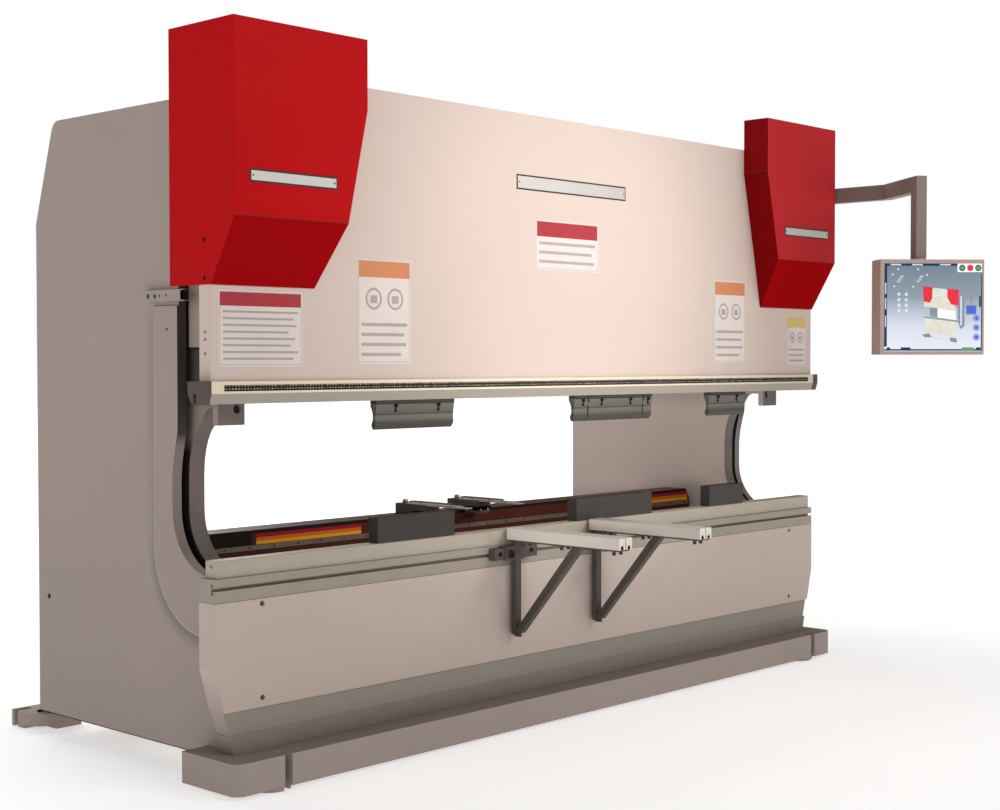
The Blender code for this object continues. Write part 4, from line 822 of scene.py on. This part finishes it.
# ------------------------------------------------------------------ pendant display
YAW = math.radians(-43.0)
HW = Vector((math.cos(YAW), math.sin(YAW), 0))
HN = Vector((math.sin(YAW), -math.cos(YAW), 0))
UP = Vector((0, 0, 1))
FC = W(3.4839, -0.7542, 0.312) + HW * 0.0055
SCREEN_OUT = -0.0015            # the screen's front plane, measured from the box's front


def flat(bm, u0, u1, v0, v1, mi, lift=0.0003, thick=0.0004):
    """A thin plate on the display; u runs right, v up, from the display's centre."""
    vs = []
    for d in (SCREEN_OUT + lift, SCREEN_OUT + lift - thick - 0.0004):
        for u, v in ((u0, v0), (u1, v0), (u1, v1), (u0, v1)):
            vs.append(bm.verts.new(FC + HW * u + UP * (v + 0.002 * 0) + HN * d))
    q = [(0, 1, 2, 3), (7, 6, 5, 4), (0, 4, 5, 1), (1, 5, 6, 2), (2, 6, 7, 3), (3, 7, 4, 0)]
    for idx in q:
        f = bm.faces.new([vs[i] for i in idx])
        f.material_index = mi


def poly_flat(bm, pts, mi, lift=0.0005):
    a = [bm.verts.new(FC + HW * u + UP * v + HN * (SCREEN_OUT + lift)) for u, v in pts]
    b = [bm.verts.new(FC + HW * u + UP * v + HN * (SCREEN_OUT - 0.0002)) for u, v in pts]
    f = bm.faces.new(a)
    f.material_index = mi
    n = len(pts)
    for i in range(n):
        f = bm.faces.new((a[i], b[i], b[(i + 1) % n], a[(i + 1) % n]))
        f.material_index = mi
    bm.faces.new(list(reversed(b)))


def disc_flat(bm, u, v, r, mi, lift=0.0006):
    poly_flat(bm, [(u + r * math.cos(t), v + r * math.sin(t)) for t in (2 * math.pi * i / 20 for i in range(20))], mi, lift)


def ring_flat(bm, u, v, r0, r1, mi, lift=0.0009):
    n = 20
    rows = []
    for r in (r0, r1):
        rows.append([bm.verts.new(FC + HW * (u + r * math.cos(2 * math.pi * i / n)) + UP * (v + r * math.sin(2 * math.pi * i / n))
                                  + HN * (SCREEN_OUT + lift)) for i in range(n)])
    for i in range(n):
        j = (i + 1) % n
        f = bm.faces.new((rows[0][i], rows[1][i], rows[1][j], rows[0][j]))
        f.material_index = mi


def display(bm):
    hw, hh = 0.2275, 0.2000
    # dark rails round the page
    flat(bm, -hw, 0.115, hh - 0.012, hh - 0.001, 2)
    flat(bm, -hw, -hw + 0.012, -hh + 0.020, hh - 0.012, 2)
    flat(bm, -hw, hw, -hh + 0.001, -hh + 0.008, 2)
    flat(bm, hw - 0.004, hw, -hh + 0.008, hh - 0.050, 2)
    for u in (-0.200, -0.100, 0.030):
        flat(bm, u, u + 0.050, hh - 0.010, hh - 0.004, 5, 0.0006)
    for v in (0.060, -0.010, -0.090):
        flat(bm, -hw + 0.003, -hw + 0.008, v, v + 0.050, 5, 0.0006)
    for u0, u1 in ((-0.215, -0.200), (-0.150, -0.105), (0.135, 0.190), (0.200, 0.222)):
        flat(bm, u0, u1, -hh + 0.004, -hh + 0.016, 2 if u0 != 0.135 else 6, 0.0006)
    # three status lamps in their frame
    flat(bm, 0.112, hw - 0.001, hh - 0.040, hh - 0.001, 3, 0.0004)
    for i, mi in enumerate((6, 1, 6)):
        u = 0.134 + i * 0.0375
        disc_flat(bm, u, hh - 0.021, 0.0150, 2 if mi != 1 else 1, 0.0006)
        disc_flat(bm, u, hh - 0.021, 0.0105, mi, 0.0008)
    # round buttons down the right-hand edge
    for v in (-0.050, -0.093, -0.137):
        disc_flat(bm, 0.2020, v, 0.0155, 0)
        ring_flat(bm, 0.2020, v, 0.0095, 0.0120, 5, 0.0010)
    # pale entries and slanted tiles on the left
    for c in range(2):
        for r in range(4):
            disc_flat(bm, -0.160 + c * 0.034, 0.058 - r * 0.025, 0.0075, 5, 0.0004)
    for u, v in ((-0.172, 0.112), (-0.080, 0.112)):
        poly_flat(bm, [(u, v), (u + 0.014, v + 0.002), (u + 0.034, v + 0.032), (u + 0.020, v + 0.030)], 5, 0.0004)
        poly_flat(bm, [(u + 0.005, v + 0.003), (u + 0.012, v + 0.004), (u + 0.028, v + 0.028), (u + 0.021, v + 0.027)], 7, 0.0006)
    for u, v in ((-0.164, 0.172), (-0.072, 0.172), (-0.190, 0.148), (-0.030, 0.146), (-0.182, 0.094), (-0.094, 0.092)):
        disc_flat(bm, u, v, 0.0045, 5, 0.0004)
    # block picture of a bending machine
    poly_flat(bm, [(0.112, 0.052), (0.128, 0.058), (0.146, 0.046), (0.146, -0.086), (0.128, -0.100), (0.116, -0.070)], 7, 0.0004)
    poly_flat(bm, [(0.126, 0.050), (0.134, 0.048), (0.134, -0.080), (0.126, -0.086)], 5, 0.0006)
    poly_flat(bm, [(-0.010, 0.086), (0.070, 0.076), (0.096, 0.010), (0.112, -0.020), (-0.044, 0.003), (-0.040, 0.030)], 4, 0.0005)
    poly_flat(bm, [(0.006, 0.088), (0.066, 0.080), (0.066, 0.072), (0.006, 0.080)], 5, 0.0008)
    poly_flat(bm, [(-0.016, -0.001), (0.104, -0.019), (0.104, -0.058), (-0.016, -0.042)], 3, 0.0006)
    poly_flat(bm, [(-0.016, -0.001), (0.020, -0.006), (0.020, -0.047), (-0.016, -0.042)], 7, 0.0008)
    poly_flat(bm, [(-0.043, -0.042), (0.116, -0.062), (0.116, -0.069), (-0.043, -0.049)], 7, 0.0009)
    poly_flat(bm, [(-0.043, -0.049), (0.116, -0.069), (0.101, -0.139), (-0.038, -0.114)], 4, 0.0007)
    poly_flat(bm, [(0.010, 0.062), (0.048, 0.057), (0.048, 0.050), (0.010, 0.055)], 5, 0.0009)
    poly_flat(bm, [(-0.048, 0.094), (-0.004, 0.090), (-0.006, 0.040), (-0.016, 0.020), (-0.044, 0.026)], 1, 0.0010)
    poly_flat(bm, [(0.064, 0.084), (0.118, 0.078), (0.118, 0.008), (0.084, 0.012), (0.066, 0.042)], 1, 0.0010)
    poly_flat(bm, [(-0.052, -0.126), (-0.020, -0.120), (-0.006, -0.136), (-0.040, -0.138)], 7, 0.0004)
    poly_flat(bm, [(-0.030, -0.128), (0.092, -0.150), (0.092, -0.158), (-0.030, -0.138)], 5, 0.0003)
    poly_flat(bm, [(0.078, -0.138), (0.108, -0.142), (0.112, -0.162), (0.080, -0.158)], 7, 0.0005)
    # its pendant
    flat(bm, 0.1760, 0.1790, 0.006, 0.062, 7, 0.0005)
    flat(bm, 0.1530, 0.2010, -0.034, 0.010, 7, 0.0006)
    flat(bm, 0.1560, 0.1980, -0.030, 0.006, 0, 0.0008)
    flat(bm, 0.2140, 0.2220, 0.002, 0.050, 2, 0.0005)


piece("display_page", display, [UI_BLUE, UI_RED, UI_DARK, UI_WHITE, UI_BEIGE, UI_GREY, UI_GREEN, UI_STEEL], "pendant_head")

# back of the pendant: cooling slots and cover screws
def pendant_back(bm):
    c = FC - HW * 0.0055 - HN * 0.130
    for i in range(8):
        v = -0.10 + i * 0.014
        lo, hi = -0.11, 0.11
        vs = [bm.verts.new(c + HW * u + UP * (v + dv) + HN * d) for d in (-0.0005, 0.0006) for u, dv in ((lo, 0), (hi, 0), (hi, 0.005), (lo, 0.005))]
        for idx in ((0, 1, 2, 3), (7, 6, 5, 4), (0, 4, 5, 1), (1, 5, 6, 2), (2, 6, 7, 3), (3, 7, 4, 0)):
            bm.faces.new([vs[j] for j in idx])
    for su in (-1, 1):
        for sv in (-1, 1):
            dome(bm, c + HW * (0.220 * su) + UP * (0.195 * sv) + HN * 0.0002, -HN, 0.0045, 0.0018, 0)


piece("pendant_back_slots", pendant_back, [BOLT], "pendant_head")

# pendant arm: bolt heads of the pivot and four more bolt heads
def pivot_bits(bm):
    hex_bolt(bm, W(L + 0.052, 0.400, 0.9552), (0, 0, 1), 0.013, 0.008, 0, washer=1)
    for z in (0.800, 0.955):
        for y in (0.350, 0.450):
            hex_bolt(bm, W(L - 0.105 + 0.0140, y, z), (1, 0, 0), 0.0085, 0.006, 0)


piece("pivot_bolts", pivot_bits, [BOLT, ZINC])

# ------------------------------------------------------------------ hydraulics at the back
# steel pressure lines from the manifold along the frame to both cylinders' port blocks
tube("pressure_line_left", [(2.180, 0.600, 0.782), (2.180, 0.600, 0.905), (2.180, 0.360, 0.905), (2.180, 0.105, 0.905), (0.380, 0.105, 0.905), (0.380, 0.105, 1.130), (0.380, 0.031, 1.130), (0.330, 0.031, 1.130)], 0.0125, ZINC)
tube("return_line_left", [(2.240, 0.630, 0.782), (2.240, 0.630, 0.945), (2.240, 0.400, 0.945), (2.240, 0.140, 0.945), (0.350, 0.140, 0.945), (0.350, 0.140, 1.105), (0.350, 0.060, 1.105), (0.322, 0.060, 1.105)], 0.0100, RUBBER)
tube("pressure_line_right", [(2.300, 0.600, 0.782), (2.300, 0.600, 0.905), (2.300, 0.360, 0.905), (2.300, 0.105, 0.905), (L - 0.380, 0.105, 0.905), (L - 0.380, 0.105, 1.130), (L - 0.380, 0.031, 1.130), (L - 0.330, 0.031, 1.130)], 0.0125, ZINC)
tube("return_line_right", [(2.360, 0.630, 0.782), (2.360, 0.630, 0.945), (2.360, 0.400, 0.945), (2.360, 0.140, 0.945), (L - 0.350, 0.140, 0.945), (L - 0.350, 0.140, 1.105), (L - 0.350, 0.060, 1.105), (L - 0.322, 0.060, 1.105)], 0.0100, RUBBER)
tube("suction_line", [(1.915, 0.640, 0.800), (1.960, 0.600, 0.800), (1.990, 0.560, 0.740), (1.990, 0.560, 0.6403)], 0.020, RUBBER, bend=0.03)


def tank_bits(bm):
    # filler neck with its cap, breather, sight glass and lid flange
    add_turned(bm, W(1.129, 0.560, 0.6403), (0, 0, 1), [(0, 0), (0.060, 0), (0.060, 0.006), (0.052, 0.008), (0.052, 0.040), (0.056, 0.042), (0.056, 0.068), (0.050, 0.074), (0, 0.074)], 0, 28)
    add_turned(bm, W(1.320, 0.600, 0.6403), (0, 0, 1), [(0, 0), (0.030, 0), (0.030, 0.030), (0.042, 0.034), (0.042, 0.080), (0.034, 0.090), (0, 0.090)], 1, 24)
    add_box(bm, W(0.975, 0.430, 0.6403), W(2.583, 0.9590, 0.6463), 2, 0.0015)
    for i in range(9):
        for y in (0.445, 0.945):
            hex_bolt(bm, W(1.005 + i * 0.1935, y, 0.6464), (0, 0, 1), 0.008, 0.006, 0)
    # rear face of the tank: level gauge and cleaning hatch, above the tie
    add_box(bm, W(1.02, 0.4290, 0.330), W(1.06, 0.4400, 0.540), 1, 0.003)
    add_box(bm, W(1.030, 0.4270, 0.345), W(1.050, 0.4310, 0.525), 3, 0.001)
    add_turned(bm, W(1.70, 0.4400, 0.455), (0, -1, 0), [(0, 0), (0.130, 0), (0.130, 0.006), (0.124, 0.008), (0, 0.008)], 2, 40)
    for i in range(10):
        t = 2 * math.pi * i / 10
        hex_bolt(bm, W(1.70 + 0.112 * math.cos(t), 0.4320, 0.455 + 0.112 * math.sin(t)), (0, -1, 0), 0.007, 0.005, 0)


piece("tank_fittings", tank_bits, [BOLT, RUBBER, GREY, GLASSLENS])


def motor_bits(bm):
    cx, cz = 0.700, 0.800
    # cooling fins along the body and the fan cowl with its slots
    for i in range(28):
        t = 2 * math.pi * i / 28
        if -0.9 < math.sin(t) <= 1.0 and not (math.sin(t) < -0.72):
            c, s_ = math.cos(t), math.sin(t)
            vs = []
            for x in (1.829 - 0.585, 1.829 - 0.240):
                for rr, off in ((0.110, -0.0016), (0.110, 0.0016), (0.128, 0.0010), (0.128, -0.0010)):
                    vs.append(bm.verts.new(W(x, cx + rr * c - off * s_, cz + rr * s_ + off * c)))
            for idx in ((0, 1, 2, 3), (7, 6, 5, 4), (0, 4, 5, 1), (1, 5, 6, 2), (2, 6, 7, 3), (3, 7, 4, 0)):
                bm.faces.new([vs[j] for j in idx])
    add_turned(bm, W(1.829 - 0.618, cx, cz), (-1, 0, 0), [(0.118, -0.060), (0.122, -0.058), (0.122, 0.020), (0.112, 0.034), (0.094, 0.036), (0, 0.036)], 0, 40)
    for k in range(4):
        add_turned(bm, W(1.829 - 0.655, cx, cz), (-1, 0, 0), [(0.020 + 0.020 * k, 0.0), (0.020 + 0.020 * k, 0.002), (0.026 + 0.020 * k, 0.002), (0.026 + 0.020 * k, 0.0)], 1, 32)
    for i in range(8):
        t = 2 * math.pi * i / 8
        hex_bolt(bm, W(1.829 - 0.069, cx + 0.100 * math.cos(t), cz + 0.100 * math.sin(t)), (1, 0, 0), 0.007, 0.006, 1)
    for x in (-0.53, -0.29):
        for y in (0.622, 0.778):
            hex_bolt(bm, W(1.829 + x, y, 0.7203), (0, 0, 1), 0.010, 0.007, 1)


piece("motor_detail", motor_bits, [BLACKP, BOLT])


def manifold_bits(bm):
    # solenoid valves on the block: coil bodies with ribbed caps and plugs
    for i, x in enumerate((2.175, 2.245, 2.315, 2.385)):
        add_box(bm, W(x - 0.022, 0.660, 0.690), W(x + 0.022, 0.790, 0.735), 1, 0.003)
        add_box(bm, W(x - 0.018, 0.790, 0.694), W(x + 0.018, 0.820, 0.731), 0, 0.003)
    for x in (1.829 + 0.390, 1.829 + 0.540):
        add_turned(bm, W(x, 0.610, 0.880), (0, 0, 1), [(0, 0), (0.020, 0), (0.020, 0.010), (0.012, 0.014), (0, 0.014)], 0, 6, smooth=False)
    for i in range(4):
        add_turned(bm, W(2.19 + i * 0.065, 0.5200, 0.700), (0, -1, 0), [(0, 0), (0.015, 0), (0.015, 0.010), (0, 0.010)], 0, 6, smooth=False)


piece("valve_detail", manifold_bits, [BOLT, RUBBER])

# cylinder heads: bolts round the top and the bottom, and a rubber ring round the rod below
for s, tag in SIDES:
    def build(bm):
        for i in range(8):
            t = 2 * math.pi * (i + 0.5) / 8
            cap_screw(bm, W(mx(s, 0.169) + 0.105 * math.cos(t), 0.031 + 0.105 * math.sin(t), 1.1402), (0, 0, 1), 0.010, 0.009, 0)
        for i in range(8):
            t = 2 * math.pi * (i + 0.5) / 8
            cap_screw(bm, W(mx(s, 0.169) + 0.107 * math.cos(t), 0.031 + 0.107 * math.sin(t), 0.5598), (0, 0, -1), 0.009, 0.007, 0)
        add_turned(bm, W(mx(s, 0.169), 0.031, 0.5602), (0, 0, -1), [(0.0330, 0), (0.0460, 0), (0.0460, 0.003), (0.0330, 0.003)], 1, 36)
    piece("cylinder_bolts_" + tag, build, [BOLT, RUBBER])

# ------------------------------------------------------------------ cabinet: hinges, locks, vents
CX = L - 0.105 + 0.277


def cabinet_fixed(bm):
    for z in (-0.70, -0.075, 0.55):
        add_turned(bm, W(CX + 0.0235, 1.2235, z - 0.030), (0, 0, 1), [(0, 0), (0.0065, 0), (0.0065, 0.028), (0, 0.028)], 0, 16)
        add_box(bm, W(CX + 0.004, 1.2203, z - 0.030), W(CX + 0.0235, 1.2243, z - 0.002), 0, 0.0008)
    # cable gland row underneath
    for i in range(5):
        add_turned(bm, W(CX - 0.20 + 0.0 * i, 0.83 + i * 0.08, -0.8500), (0, 0, -1), [(0, 0), (0.018, 0), (0.018, 0.010), (0.013, 0.014), (0.013, 0.030), (0, 0.030)], 1, 8, smooth=False)


piece("cabinet_hinges", cabinet_fixed, [ZINC, RUBBER])


def door_bits(bm):
    xo = CX + 0.0206
    for z in (-0.70, -0.075, 0.55):
        add_turned(bm, W(CX + 0.0235, 1.2235, z), (0, 0, 1), [(0, 0), (0.0065, 0), (0.0065, 0.028), (0, 0.028)], 0, 16)
    for z in (-0.55, 0.40):
        add_turned(bm, W(xo, 0.785, z), (1, 0, 0), [(0, 0), (0.016, 0), (0.016, 0.003), (0.010, 0.004), (0.010, 0.002), (0, 0.002)], 0, 24)
    # louvres pressed in the lower part, and the switch's back plate
    for i in range(9):
        z = -0.72 + i * 0.022
        add_box(bm, W(xo - 0.0004, 0.880, z), W(xo + 0.0032, 1.090, z + 0.009), 1, 0.0012)
    add_box(bm, W(xo - 0.0003, 0.822, 0.322), W(xo + 0.0003 + 0.0002, 0.898, 0.398), 2)
    # turned sheet edge of the door
    for z in (0.668, -0.826):
        add_box(bm, W(xo - 0.0003, 0.765, z), W(xo + 0.0012, 1.205, z + 0.004), 1, 0.0004)


piece("door_hardware", door_bits, [ZINC, GREY, CARD_YELLOW], "door")

# wiring duct and DIN rail parts on the back plate
def duct(bm):
    x = L - 0.105 + 0.0153
    for z in (0.055, -0.145, -0.345):
        add_box(bm, W(x, 0.795, z), W(x + 0.055, 1.165, z + 0.030), 0, 0.002)
    for i in range(10):
        add_box(bm, W(x + 0.0652, 0.806 + i * 0.036, -0.196), W(x + 0.0692 + 0.012, 0.832 + i * 0.036, -0.204 - 0.060), 1, 0.0015)


piece("cabinet_wiring_duct", duct, [PLASTIC, RUBBER])

# ------------------------------------------------------------------ floor, light and camera
bm = bmesh.new()
bmesh.ops.create_grid(bm, x_segments=8, y_segments=8, size=40.0)
me = bpy.data.meshes.new("floor")
bm.to_mesh(me)
bm.free()
floor = bpy.data.objects.new("floor", me)
bpy.context.scene.collection.objects.link(floor)
floor.location.z = -0.0005
m = Mat("floor_pale", spec=0.0)
n1 = m.noise(0.6, 3.0, 0.5)
m.base(m.ramp(n1, [(0.3, (0.90, 0.90, 0.90)), (0.7, (0.92, 0.92, 0.92))]))
m.rough(m.span(n1, 0.3, 0.7, 0.80, 0.90))
# the far floor glows softly, so that it runs into the white cyclorama without an edge
far = m.t.nodes.new("ShaderNodeVectorMath")
far.operation = "LENGTH"
m.link(m.coord, far.inputs[0])
glow = m.span(far.outputs["Value"], 2.4, 7.5, 0.0, 1.0)
m.link(m.ramp(glow, [(0.0, (0.48, 0.48, 0.48)), (1.0, (1.0, 1.0, 1.0))]), m.p.inputs["Emission Color"])
m.p.inputs["Emission Strength"].default_value = 1.0
me.materials.append(m.m)
floor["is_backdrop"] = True

world = bpy.data.worlds.new("studio")
bpy.context.scene.world = world
world.use_nodes = True
wt = world.node_tree
for n in list(wt.nodes):
    wt.nodes.remove(n)
seen = wt.nodes.new("ShaderNodeBackground")
seen.inputs["Strength"].default_value = 1.0
seen.inputs["Color"].default_value = (1.0, 1.0, 1.0, 1.0)
soft = wt.nodes.new("ShaderNodeBackground")
soft.inputs["Strength"].default_value = 0.245
soft.inputs["Color"].default_value = (1.0, 0.985, 0.97, 1.0)
pick = wt.nodes.new("ShaderNodeMixShader")
ray = wt.nodes.new("ShaderNodeLightPath")
out = wt.nodes.new("ShaderNodeOutputWorld")
wt.links.new(ray.outputs["Is Camera Ray"], pick.inputs[0])
wt.links.new(soft.outputs[0], pick.inputs[1])
wt.links.new(seen.outputs[0], pick.inputs[2])
wt.links.new(pick.outputs[0], out.inputs["Surface"])


def lamp(name, kind, at, aim, power, colour=(1, 1, 1), size=None, cone=None):
    li = bpy.data.lights.new(name, kind)
    li.energy = power
    li.color = colour
    if kind == "AREA":
        li.shape = "RECTANGLE"
        li.size, li.size_y = size
    else:
        li.spot_size = math.radians(cone)
        li.spot_blend = 1.0
        li.shadow_soft_size = size
    o = bpy.data.objects.new(name, li)
    bpy.context.scene.collection.objects.link(o)
    o.location = at
    o.rotation_euler = (Vector(aim) - Vector(at)).to_track_quat("-Z", "Y").to_euler()
    return o


lamp("left_soft", "AREA", (-5.2, 0.2, 2.5), (-1.9, 0.2, 1.5), 17, (1.0, 0.985, 0.97), size=(1.4, 1.4))
lamp("ram_key", "SPOT", (1.2, -5.6, 3.0), tuple(W(1.82, 0.0, 0.46)), 770, (1.0, 0.975, 0.95), size=0.5, cone=28)
lamp("front_fill", "AREA", (0.8, -5.5, 4.4), (0.0, 0.0, 1.0), 112, (1.0, 0.98, 0.96), size=(5.0, 2.0))
lamp("throat_spot", "SPOT", (-4.6, -2.6, 1.05), (1.6, 0.6, 1.0), 300, (1.0, 0.97, 0.94), size=0.15, cone=14)
lamp("back_soft", "AREA", (0.5, 6.5, 4.0), (0.0, 0.8, 1.2), 260, size=(6.0, 3.0))

cam = bpy.data.cameras.new("camera")
co = bpy.data.objects.new("camera", cam)
bpy.context.scene.collection.objects.link(co)
az, pitch, roll = math.radians(-46.879), math.radians(1.558), math.radians(-0.04)
back = Vector((math.sin(az) * math.cos(pitch), -math.cos(az) * math.cos(pitch), math.sin(pitch)))
fwd = -back
right = fwd.cross(Vector((0, 0, 1))).normalized()
upv = right.cross(fwd)
r2 = right * math.cos(roll) + upv * math.sin(roll)
u2 = -right * math.sin(roll) + upv * math.cos(roll)
pos = W(-3.2584, -4.3649, 0.0670)
co.matrix_world = Matrix(((r2.x, u2.x, back.x, pos.x), (r2.y, u2.y, back.y, pos.y), (r2.z, u2.z, back.z, pos.z), (0, 0, 0, 1)))
cam.sensor_fit = "HORIZONTAL"
cam.sensor_width = 36.0
cam.lens = 1616.77 * 36.0 / 1000.0
cam.clip_end = 200.0
bpy.context.scene.camera = co
bpy.context.scene.view_settings.view_transform = "Standard"

lo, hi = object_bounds()
